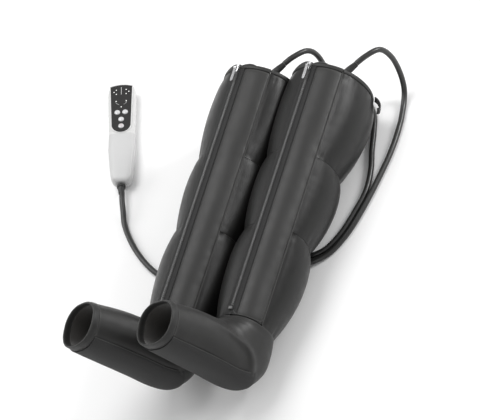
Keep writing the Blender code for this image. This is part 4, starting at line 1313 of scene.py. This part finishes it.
        def upper(turn: np.ndarray, v: np.ndarray) -> np.ndarray:
            """The foot's outside, with soft folds at the ankle and a drawn-in sole seam.

            Args:
                turn: angles round the foot.
                v: shares of the way from ankle to toes.

            Returns:
                The points.
            """
            off = np.abs(np.abs(np.mod(turn, 2 * np.pi) - np.pi) - shape.sole_angle)
            groove = -0.0008 * np.exp(-(off / 0.05) ** 2) * np.clip((v - 0.3) / 0.06, 0, 1)
            arc = turn * shape.foot_girth
            folds = np.minimum(0, ripple(arc, v * 0.2, 31, 9, 8, 22)) * 0.0006
            waves = ripple(arc, v * 0.2, 32, 7, 4, 14) * 0.0005
            ends = np.clip(v / 0.08, 0, 1) * np.clip((shape.toe_band_share - v) / 0.04, 0, 1)
            uneven = np.minimum((folds + waves) * ends, 0)
            return shape.foot_skin(turn, v, groove + uneven + self.heel_fold(turn, v))

        def lining(turn: np.ndarray, v: np.ndarray) -> np.ndarray:
            """The foot's inside.

            Args:
                turn: angles round the foot.
                v: shares of the way from ankle to toes.

            Returns:
                The points.
            """
            arc = turn * shape.foot_girth
            rise = np.abs(ripple(arc, v * 0.2, 33, 8, 6, 26)) * 0.0006
            ends = np.clip(v / 0.08, 0, 1) * np.clip((shape.toe_band_share - v) / 0.06, 0, 1)
            return shape.foot_skin(turn, v, -shape.foot_wall - rise * ends)

        outer, inner = mesh_grid(turns, vs, upper), mesh_grid(turns, vs, lining)
        ends = [(np.stack([outer[:, end], inner[:, end]], 1), False) for end in (0, -1)]
        mesh = surface_mesh(self.label("foot_upper"), [(outer, False), (inner, True), *ends])
        piece = self.keep(linked(mesh, 60), "foot", "cover", BODY, "foot_upper")
        piece.data.materials.append(self.wardrobe.materials["lining"])
        self.line_inside(piece)
        self.sole()
        self.toe_band()

    def line_inside(self, piece: bpy.types.Object) -> None:
        """Gives the faces that look at the foot's own middle line the lining's finish.

        Args:
            piece: the foot.
        """
        shape = self.shape
        heel_line, instep_line, _ = shape.foot_lines()
        shares = spread(60)
        middle = (shape.smooth_at(heel_line, shares) + shape.smooth_at(instep_line, shares)) / 2
        base, forward, _ = shape.foot_frame()
        line = base + middle[:, :1] * forward
        line[:, 1] += middle[:, 1]
        for face in piece.data.polygons:
            centre = np.array(face.center)
            nearest = line[np.argmin(np.linalg.norm(line - centre, axis=1))]
            if np.dot(np.array(face.normal), nearest - centre) > 0:
                face.material_index = 1

    def sole(self) -> None:
        """Makes the ribbed sole cloth and the piping where it is sewn on."""
        shape = self.shape
        seam = shape.sole_angle
        first = 5 / 13 * shape.toe_band_share
        turns = spread(40, math.pi - seam, math.pi + seam)
        vs = spread(60, first, shape.toe_band_share)

        def face(rise: float) -> np.ndarray:
            """The sole's face at a height over the foot.

            Args:
                rise: the height.

            Returns:
                Its grid of points.
            """
            def points(turn: np.ndarray, v: np.ndarray) -> np.ndarray:
                """Points of that face, drawn in towards its sewn edge."""
                edge = np.minimum(seam - np.abs(turn - math.pi), (v - first) * 4.0)
                return shape.foot_skin(turn, v, GAP + rise * (1 - 0.7 * np.exp(-edge / 0.06)))
            return mesh_grid(turns, vs, points)

        mesh = surface_mesh(self.label("sole_skin"), pad_grids(face(0.0014), face(0.0)))
        self.keep(linked(mesh), "sole", "sole", BODY, "sole_skin")
        for side in (-1, 1):
            line = shape.foot_skin(np.full_like(vs, math.pi + side * (seam + 0.012)), vs,
                                   np.full_like(vs, 0.0003))
            name = self.label(f"sole_piping_{'left' if side > 0 else 'right'}")
            self.keep(linked(tube(name, line, 0.0008)), "binding", "binding", BODY)

    def toe_band(self) -> None:
        """Makes the rolled band round the toe opening."""
        shape = self.shape
        first, last = shape.toe_band_share + shape.sew_gap / shape.foot_length, 1.0
        turns = spread(96, 0, 2 * math.pi)
        rows = [(first, -0.0004), (first + 0.002, 0.0002), (0.955, 0.0004), (0.975, 0.0004), (0.99, 0.0002),
                (0.997, -0.0003), (1.0, -0.0010), (0.999, -0.0018), (0.99, -0.0026), (0.96, -0.0030),
                (first, -0.0030), (first, -0.0004)]
        rings = []
        pucker = ripple(turns * shape.foot_girth, turns * 0, 35, 7, 40, 90) * 0.00025
        for v, proud in rows:
            rings.append(shape.foot_skin(turns, np.full_like(turns, v), proud + np.minimum(pucker, 0)))
        mesh = surface_mesh(self.label("toe_band"), [(np.stack(rings, 1), False)])
        self.keep(linked(mesh, 60), "binding", "binding", BODY, "toe_band")
        line = shape.foot_skin(turns, np.full_like(turns, first + 0.008), np.full_like(turns, 0.0009))
        outs = shape.foot_skin(turns, np.full_like(turns, first + 0.008), np.full_like(turns, 0.0109)) - line
        outs /= np.linalg.norm(outs, axis=1)[:, None]
        row = stitches(self.label("toe_band_stitches"), line, outs)
        self.keep(linked(row), "thread", "tape", BODY)

    def fittings(self) -> None:
        """Dresses the nodes that stay: the slider, its tab, the stop and the hose relief."""
        name = self.shape.name
        for node, use in (("zip_slider", "metal"), ("pull_tab", "metal"), ("zip_stop", "teeth"),
                          ("hose_relief", "rubber")):
            self.wardrobe.dress_node(f"{name}_{node}", use)

    def build(self) -> None:
        """Makes and dresses every piece of the boot."""
        self.chambers()
        self.sleeve()
        self.panel()
        self.sewing()
        self.bindings()
        self.tapes()
        self.teeth()
        self.loop()
        self.foot()
        self.fittings()


@dataclass
class HandController:
    """The hand controller's housings, face, lamps and buttons."""

    wardrobe: Wardrobe
    shift: Vector
    place: tuple[float, float] = (-0.3301, 0.3593)
    turn: float = math.radians(20.5)
    roll: float = math.radians(14)
    length: float = 0.1727
    front_depth: float = 0.0120
    rear_depth: float = 0.0140
    wall: float = 0.0018
    end_power: float = 14.0
    end_share: float = 0.12
    plate_length: float = 0.0850
    plate_width: float = 0.0310
    plate_waist: float = 0.0270
    plate_drop: float = 0.0030
    plate_proud: float = 0.0009
    button_width: float = 0.0082
    dome: float = 0.0018
    half_widths: tuple[float, ...] = (0.0155, 0.0194, 0.0186, 0.0210)
    face_power: float = 4.5
    back_power: float = 2.3
    grip_top: float = -0.0030
    cutter_reach: float = 0.002
    screw_rise: float = 0.0550
    screw_hole_radius: float = 0.0025
    flange_radius: float = 0.0050
    flange_depth: float = 0.0010
    lamp_radius: float = 0.0009

    def __post_init__(self) -> None:
        """Finds the case's frame: it rests on the table with its rounded back."""
        turned = Matrix.Rotation(self.turn, 4, "Z") @ Matrix.Rotation(self.roll, 4, "Y")
        us, vs = spread(10, -1, 1), spread(14, -1, 1)
        points = mesh_grid(us, vs, lambda u, v: self.case_skin(u, v, -1, 0.0)).reshape(-1, 3)
        lowest = (points @ np.array(turned)[:3, :3].T)[:, 2].min()
        x, y = self.place
        self.frame = Matrix.Translation((x + self.shift.x, y + self.shift.y, -lowest)) @ turned

    def case_skin(self, u: np.ndarray, v: np.ndarray, side: int, inset: float) -> np.ndarray:
        """Points of the case's skin in its own frame.

        Args:
            u: shares across, -1 to 1.
            v: shares along, -1 to 1.
            side: 1 for the face's side, -1 for the back.
            inset: how far inside the skin.

        Returns:
            The points.
        """
        half = self.length / 2 - inset
        y = half * np.sin(v * np.pi / 2)
        corner = np.maximum(self.end_share, 1 - np.abs(y / half) ** self.end_power)
        full = self.length / 2
        width = np.interp(y, (-full, -full / 3, 0, full), self.half_widths) - inset
        width = width * corner ** (1 / self.face_power)
        x = width * np.sin(u * np.pi / 2)
        front, rear = (self.front_depth, self.face_power), (self.rear_depth, self.back_power)
        depth, power = front if side > 0 else rear
        across = np.clip(1 - np.abs(x / width) ** power, 0, None) ** (1 / power)
        ends = np.clip(1 - np.abs(y / half) ** self.end_power, 0, None) ** (1 / self.face_power)
        return np.stack([x, y, side * (GAP / 2 + (depth - inset) * across * ends)], -1)

    def to_world(self, points: np.ndarray) -> np.ndarray:
        """Points of the case's frame, in the world."""
        matrix = np.array(self.frame)
        return points @ matrix[:3, :3].T + matrix[:3, 3]

    def button_places(self) -> dict[str, tuple[float, float]]:
        """Where each button stands on the face."""
        return {"mode_button": (-0.0056, 0.0337), "level_button": (0.0056, 0.0337),
                "set_button": (0.0, 0.0210), "power_button": (0.0, 0.0089)}

    def plate_outline(self, margin: float, steps: int = 40) -> np.ndarray:
        """The face plate's outline, with its arched top and round bottom.

        Args:
            margin: how far outside the plate.
            steps: points on each curve.

        Returns:
            Points in the plane, anticlockwise.
        """
        top = self.length / 2 - self.plate_drop
        half, waist = self.plate_width / 2 + margin, self.plate_waist / 2 + margin
        centre = top - self.plate_length + self.plate_waist / 2
        share = np.linspace(0, 1, steps)
        arch = np.stack([half * (1 - 2 * share), top + margin - self.plate_drop * (2 * share - 1) ** 2], 1)
        turn = np.linspace(0, math.pi, steps)
        bowl = np.stack([-waist * np.cos(turn), centre - waist * np.sin(turn)], 1)
        return np.vstack([arch, bowl])

    def prism(self, name: str, outline: np.ndarray, low: float, high: float,
              edge: float = 0.0) -> bpy.types.Mesh:
        """A flat piece with an outline, in the world.

        Args:
            name: the mesh's name.
            outline: its outline in the case's plane.
            low: its underside.
            high: its face.
            edge: how far its upper edge is rounded.

        Returns:
            The mesh.
        """
        middle = outline.mean(0)
        inward = outline + (middle - outline) / np.linalg.norm(middle - outline, axis=1)[:, None] * edge
        layers = [(outline, low), (outline, high - edge)]
        if edge:
            layers.append((outline * 0.3 + inward * 0.7, high - edge * 0.3))
            layers.append((inward, high))
        bm = bmesh.new()
        rings = []
        for flat, z in layers:
            points = self.to_world(np.column_stack([flat, np.full(len(flat), z)]))
            rings.append([bm.verts.new(point) for point in points])
        for first, last in zip(rings, rings[1:]):
            for number in range(len(first)):
                after = (number + 1) % len(first)
                bm.faces.new((first[number], first[after], last[after], last[number]))
        bm.faces.new(rings[-1])
        bm.faces.new(rings[0][::-1])
        bmesh.ops.triangulate(bm, faces=[face for face in bm.faces if len(face.verts) > 4])
        mesh = bpy.data.meshes.new(name)
        bm.to_mesh(mesh)
        bm.free()
        return mesh

    def cut(self, piece: bpy.types.Object, cutters: Sequence[bpy.types.Mesh]) -> None:
        """Cuts holes in a piece and leaves no cutter behind.

        Args:
            piece: the piece.
            cutters: a mesh for each hole.
        """
        tools = []
        for mesh in cutters:
            tool = bpy.data.objects.new("cutter", mesh)
            bpy.context.scene.collection.objects.link(tool)
            change = piece.modifiers.new("cut", "BOOLEAN")
            change.object, change.operation, change.solver = tool, "DIFFERENCE", "EXACT"
            tools.append(tool)
        depsgraph = bpy.context.evaluated_depsgraph_get()
        cut_mesh = bpy.data.meshes.new_from_object(piece.evaluated_get(depsgraph))
        piece.modifiers.clear()
        piece.data = cut_mesh
        for tool in tools:
            bpy.data.objects.remove(tool)
        piece.data.shade_smooth()
        piece.data.set_sharp_from_angle(angle=math.radians(35))

    def housings(self) -> None:
        """Makes the front and rear housings with a finely rounded skin."""
        us, vs = spread(44, -1, 1), spread(84, -1, 1)
        for side, name in ((1, "front"), (-1, "rear")):
            outer = self.to_world(mesh_grid(us, vs, lambda u, v: self.case_skin(u, v, side, 0.0)))
            inner = self.to_world(mesh_grid(us, vs, lambda u, v: self.case_skin(u, v, side, self.wall)))
            mesh = surface_mesh(f"controller_{name}_housing_look", pad_grids(outer, inner))
            piece = linked(mesh, 35)
            self.wardrobe.keep(piece, "case", "case", BODY, f"controller_{name}_housing")
            piece.data.materials.append(self.wardrobe.materials["grip"])
            if side > 0:
                recess = self.prism("recess", self.plate_outline(GAP), self.front_depth - 0.0006,
                                    self.front_depth + self.cutter_reach)
                self.cut(piece, [recess, *self.button_holes(self.front_depth + self.cutter_reach)])
            else:
                self.cut(piece, self.back_holes())
            self.grey_grip(piece)

    def grey_grip(self, piece: bpy.types.Object) -> None:
        """Gives the faces of the grip, below the face plate, their greyer plastic.

        Args:
            piece: a housing.
        """
        home = self.frame.inverted()
        for part in piece.data.polygons:
            if (home @ part.center).y < self.grip_top:
                part.material_index = 1

    def button_holes(self, top: float) -> list[bpy.types.Mesh]:
        """The cutters of the four button holes, from the housings' joint up to top."""
        return [self.prism("hole", self.circle(place, self.button_width / 2 + GAP), 0.0, top)
                for place in self.button_places().values()]

    def back_holes(self) -> list[bpy.types.Mesh]:
        """The cutters of the two screw holes in the back."""
        return [self.prism("screw_hole", self.circle((0.0, y), self.screw_hole_radius),
                           -self.rear_depth - 0.001, -self.rear_depth + self.wall + 0.001)
                for y in (self.screw_rise, -self.screw_rise)]

    def circle(self, place: tuple[float, float], radius: float, count: int = 36) -> np.ndarray:
        """Points round a circle in the case's plane."""
        turn = np.linspace(0, 2 * math.pi, count, endpoint=False)
        return np.stack([place[0] + radius * np.cos(turn), place[1] + radius * np.sin(turn)], 1)

    def face(self) -> None:
        """Makes the dark face plate, its raised white edge, its lamps and its printed line."""
        top = self.front_depth + self.plate_proud
        edge = 0.0003
        slab = self.prism("controller_face_plate_look", self.plate_outline(0.0), self.front_depth - edge,
                          top, edge)
        plate = linked(slab, 30)
        self.wardrobe.keep(plate, "plate", "plate", BODY, "controller_face_plate")
        self.cut(plate, self.button_holes(top + self.cutter_reach))
        line = self.plate_outline(0.0008, 60)
        rim = np.column_stack([line, np.full(len(line), self.front_depth + 0.0002)])
        rim = self.to_world(np.vstack([rim, rim[:1]]))
        self.wardrobe.keep(linked(tube("face_plate_edge_look", rim, 0.0009, 10)), "case", "case")
        lamps = ((-0.0071, 0.0746), (-0.0104, 0.0708), (-0.0071, 0.0670), (0.0070, 0.0746), (0.0108, 0.0708),
                 (0.0070, 0.0670), (-0.0072, 0.0540), (0.0072, 0.0540), (0.0, 0.0434))
        for number, place in enumerate(lamps, 1):
            outline = self.circle(place, self.lamp_radius, 20)
            mesh = self.prism(f"lamp_{number}_look", outline, top - 0.0001, top + 0.0002, 0.0002)
            self.wardrobe.keep(linked(mesh), "lamp", "clear")
        bar = np.array(((-0.0003, 0.0660), (0.0003, 0.0660), (0.0003, 0.0795), (-0.0003, 0.0795)))
        mesh = self.prism("divider_line_look", bar, top - 0.0001, top + 0.00012)
        self.wardrobe.keep(linked(mesh), "print", "case")
        self.arc_marks(top)

    def arc_marks(self, top: float) -> None:
        """Makes the two thin arcs that join the lower lamps on the face.

        Args:
            top: height of the plate's face.
        """
        radius, centre, count = 0.0088, 0.0560, 14
        for side, first, last in (("left", 200, 250), ("right", 290, 340)):
            turn = np.radians(np.linspace(first, last, count))
            line = np.stack([radius * np.cos(turn), centre + radius * np.sin(turn),
                             np.full(count, top + 0.00005)], 1)
            mesh = tube(f"lamp_arc_{side}_look", self.to_world(line), 0.0002, 6)
            self.wardrobe.keep(linked(mesh), "print", "case")

    def buttons(self) -> None:
        """Makes the four domed buttons and the ring printed on the power button."""
        face = self.front_depth + self.plate_proud
        rest = self.front_depth - self.wall - 0.0006 - GAP
        for name, place in self.button_places().items():
            radius, top = self.button_width / 2, face + self.dome
            profile = [(0.0001, top)]
            profile += [(radius * math.sin(turn), top - self.dome * (1 - math.cos(turn)) ** 1.15)
                        for turn in np.linspace(0.15, math.pi / 2, 12)]
            foot = rest - self.flange_depth
            profile += [(radius, rest), (self.flange_radius, rest), (self.flange_radius, foot),
                        (0.0001, foot)]
            turns = np.linspace(0, 2 * math.pi, 49)
            rings = [np.stack([place[0] + size * np.cos(turns), place[1] + size * np.sin(turns),
                               np.full(49, height)], 1) for size, height in profile]
            mesh = surface_mesh(f"{name}_look", [(self.to_world(np.stack(rings, 0)), False)])
            bm = bmesh.new()
            bm.from_mesh(mesh)
            bmesh.ops.holes_fill(bm, edges=[edge for edge in bm.edges if edge.is_boundary])
            bmesh.ops.recalc_face_normals(bm, faces=bm.faces)
            bm.to_mesh(mesh)
            bm.free()
            self.wardrobe.keep(linked(mesh, 40), "button", "button", name, name)
        self.power_ring(face)

    def power_ring(self, face: float) -> None:
        """Makes the plain ring and stroke on the power button, the common sign for on and off.

        Args:
            face: height of the plate's face.
        """
        x, y = self.button_places()["power_button"]
        radius, top = 0.0017, face + self.dome
        turn = np.radians(np.linspace(120, 420, 40))
        height = top - self.dome * (1 - math.cos(math.asin(radius / (self.button_width / 2)))) ** 1.15
        ring = np.stack([x + radius * np.cos(turn), y + radius * np.sin(turn), np.full(40, height)], 1)
        stroke = np.stack([np.full(6, x), y + np.linspace(0.0, 0.0021, 6), np.full(6, top)], 1)
        for name, line in (("power_ring_look", ring), ("power_stroke_look", stroke)):
            mesh = tube(name, self.to_world(line), 0.00018, 6)
            self.wardrobe.keep(linked(mesh), "ring", "case", "power_button")

    def grip(self) -> None:
        """Dresses the pieces that stay inside and at the ends of the case."""
        for node, use in (("button_mat", "dark_rubber"), ("circuit_board", "board"), ("light_guide", "clear"),
                          ("battery", "battery"), ("air_pump", "steel"), ("valve_block", "dark_rubber"),
                          ("charging_socket", "steel"), ("hose_gland", "rubber"), ("case_screw_1", "steel"),
                          ("case_screw_2", "steel")):
            self.wardrobe.dress_node(node, use)

    def build(self) -> None:
        """Makes and dresses the whole controller."""
        self.housings()
        self.face()
        self.buttons()
        self.grip()


@dataclass
class AirHoses:
    """The three air hoses and the splitter under the legs."""

    wardrobe: Wardrobe
    shift: Vector
    shapes: Sequence[BootShape]
    controller: HandController
    diameter: float = 0.0080
    relief_length: float = 0.018
    tuck: float = 0.0012
    relief_angle: float = math.radians(-42)
    relief_tilt: float = math.radians(35)
    splitter_turn: float = math.radians(12)
    splitter_half: float = 0.017
    branch_offset: float = 0.0043
    gland_length: float = 0.0140
    step: float = 0.005

    def relief_end(self, shape: BootShape) -> tuple[Vector, Vector]:
        """Finds where a boot's hose leaves its relief.

        Args:
            shape: the boot's sizes.

        Returns:
            The place, and which way the hose runs there.
        """
        radius = (shape.skin(shape.rim) + shape.sleeve(shape.rim)) / 2
        origin = Vector(shape.at(self.relief_angle, radius, shape.rim + GAP))
        away = Vector((math.sin(self.relief_tilt), math.cos(self.relief_tilt), 0))
        return origin + away * (self.relief_length - self.tuck), away

    def splitter_frame(self) -> Matrix:
        """The splitter's frame on the table."""
        x, y, z = SPLITTER_PLACE
        return (Matrix.Translation((x + self.shift.x, y + self.shift.y, z))
                @ Matrix.Rotation(self.splitter_turn, 4, "Z"))

    def lay(self, name: str, ends: Sequence[tuple[Vector, Vector]], route: Sequence[Sequence[float]]) -> None:
        """Lays one hose from end to end.

        Args:
            name: the node that it replaces.
            ends: at each end its place and the way the hose leaves it.
            route: the places between, before the frame's shift.
        """
        straight = self.diameter * 1.5
        (start, start_way), (end, end_way) = ends
        middle = [Vector(place) + self.shift for place in route]
        points = [start, start + start_way * straight, *middle, end + end_way * straight, end]
        line = curve_through([tuple(point) for point in points], self.step)
        line[1:-1, 2] = np.maximum(line[1:-1, 2], self.diameter / 2 + GAP / 2)
        curve = bpy.data.curves.new(f"{name}_look", "CURVE")
        curve.dimensions = "3D"
        curve.bevel_depth = self.diameter / 2
        curve.bevel_resolution = 6
        curve.use_fill_caps = True
        spline = curve.splines.new("POLY")
        spline.points.add(len(line) - 1)
        spline.points.foreach_set("co", np.column_stack([line, np.ones(len(line))]).reshape(-1))
        spline.use_smooth = True
        piece = bpy.data.objects.new(f"{name}_look", curve)
        bpy.context.scene.collection.objects.link(piece)
        self.wardrobe.keep(piece, "hose", "rubber", BODY, name)

    def build(self) -> None:
        """Lays the three hoses and dresses the splitter."""
        near, far = self.shapes
        frame_now = self.splitter_frame()
        along = (frame_now.to_3x3() @ Vector((1, 0, 0))).normalized()
        half = self.splitter_half - self.tuck / 3
        case = self.controller.frame
        gland = case @ Vector((0, -self.controller.length / 2 - self.gland_length + self.tuck, 0))
        gland_way = (case.to_3x3() @ Vector((0, -1, 0))).normalized()
        self.lay("controller_hose", ((gland, gland_way), (frame_now @ Vector((-half, 0, 0)), -along)),
                 ((-0.2841, 0.2362, 0.0097), (-0.2776, 0.2188, 0.0045), (-0.2592, 0.1945, 0.0043),
                  (-0.2356, 0.1709, 0.0043), (-0.2086, 0.1506, 0.0043), (-0.1850, 0.1400, 0.0043),
                  (-0.1640, 0.1385, 0.0043), (-0.1440, 0.1455, 0.0043), (-0.1250, 0.1570, 0.0043),
                  (-0.1050, 0.1650, 0.0043)))
        starts = [(frame_now @ Vector((half, side * self.branch_offset, 0)), along) for side in (-1, 1)]
        self.lay("near_hose", (starts[0], self.relief_end(near)),
                 ((0.0120, 0.1810, 0.0043), (0.0320, 0.1880, 0.0043), (0.0500, 0.2035, 0.0043),
                  (0.0640, 0.2330, 0.0043), (0.0725, 0.2680, 0.0043), (0.0795, 0.3140, 0.0043),
                  (0.0850, 0.3700, 0.0043), (0.0840, 0.4150, 0.0043), (0.0790, 0.4490, 0.0045),
                  (0.0760, 0.4720, 0.0148), (0.0735, 0.4835, 0.0420), (0.0718, 0.4835, 0.0740),
                  (0.0659, 0.4750, 0.0980)))
        self.lay("far_hose", (starts[1], self.relief_end(far)),
                 ((0.0090, 0.1895, 0.0043), (0.0270, 0.1960, 0.0043), (0.0430, 0.2095, 0.0043),
                  (0.0558, 0.2360, 0.0043), (0.0640, 0.2700, 0.0043), (0.0690, 0.3050, 0.0043),
                  (0.0650, 0.3400, 0.0043), (0.0560, 0.3720, 0.0043), (0.0490, 0.4020, 0.0043),
                  (0.0400, 0.4300, 0.0043), (0.0220, 0.4520, 0.0043), (-0.0010, 0.4585, 0.0043),
                  (-0.0200, 0.4668, 0.0092), (-0.0330, 0.4728, 0.0320), (-0.0342, 0.4735, 0.0760),
                  (-0.0401, 0.4650, 0.1000)))
        self.wardrobe.dress_node("hose_splitter", "rubber")


@dataclass
class Studio:
    """The pale table, the soft lights and the camera at the photograph's angle."""

    shift: Vector
    eye: tuple[float, float, float] = (2.28, -2.1421, 3.8275)
    right: tuple[float, float, float] = (0.8812, 0.3142, -0.3534)
    up: tuple[float, float, float] = (-0.0691, 0.8249, 0.5611)
    back: tuple[float, float, float] = (0.4677, -0.4700, 0.7485)
    lens: float = 277.78

    def table(self) -> None:
        """Makes the pale table top."""
        bpy.ops.mesh.primitive_plane_add(size=12, location=(0, 0, -0.0002))
        top = bpy.context.object
        top.name = "table_top"
        sketch = MaterialSketch("table_paint")
        sketch.base(sketch.clouds(3), grey(0.93), grey(0.95), 0.3, 0.7)
        sketch.set(Roughness=0.8, Specular_IOR_Level=0.2)
        top.data.materials.append(sketch.material)

    def lights(self) -> None:
        """Sets a large soft light overhead, one at the right and back, and two weak ones."""
        lamps = (("overhead", (-0.7, 0.5, 2.4), 1.8, 34), ("rim", (1.9, 1.7, 1.20), 0.9, 44),
                 ("front", (0.9, -2.4, 1.3), 1.4, 8), ("left", (-2.2, 0.2, 1.3), 1.4, 15))
        for name, place, size, power in lamps:
            data = bpy.data.lights.new(name, "AREA")
            data.shape = "DISK"
            data.size = size
            data.energy = power
            light = bpy.data.objects.new(name, data)
            light.location = place
            aim = Vector((0, 0, 0.05)) - Vector(place)
            light.rotation_euler = aim.to_track_quat("-Z", "Y").to_euler()
            bpy.context.scene.collection.objects.link(light)
        world = bpy.data.worlds.new("room")
        world.use_nodes = True
        world.node_tree.nodes["Background"].inputs["Color"].default_value = (1, 1, 1, 1)
        world.node_tree.nodes["Background"].inputs["Strength"].default_value = 0.50
        bpy.context.scene.world = world

    def camera(self) -> None:
        """Puts the camera where the photograph was taken from."""
        data = bpy.data.cameras.new("camera")
        data.lens = self.lens
        data.sensor_width = 36
        data.clip_end = 60
        eye = bpy.data.objects.new("camera", data)
        matrix = Matrix((self.right, self.up, self.back)).transposed().to_4x4()
        matrix.translation = Vector(self.eye) + self.shift
        eye.matrix_world = matrix
        bpy.context.scene.collection.objects.link(eye)
        bpy.context.scene.camera = eye

    def build(self) -> None:
        """Makes the whole setting."""
        self.camera()
        self.table()
        self.lights()
        bpy.context.scene.view_settings.view_transform = "Standard"


def main() -> None:
    """Builds the setting, the hoses, both boots and the controller."""
    logging.basicConfig(level=logging.INFO, format="%(message)s")
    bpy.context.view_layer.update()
    shift = origin_shift()
    wardrobe = Wardrobe()
    Studio(shift).build()
    limit = BOOT_SPACING / 2 - GAP / 2
    near = BootShape("near", shift, 0.0, left_limit=limit)
    far_place = shift + Vector((-BOOT_SPACING, -FAR_BOOT_BACK, 0))
    far = BootShape("far", far_place, FAR_BOOT_ROLL, right_limit=limit)
    controller = HandController(wardrobe, shift)
    AirHoses(wardrobe, shift, (near, far), controller).build()
    for shape in (near, far):
        SoftBoot(shape, wardrobe).build()
    controller.build()


if __name__ == "__main__":
    main()
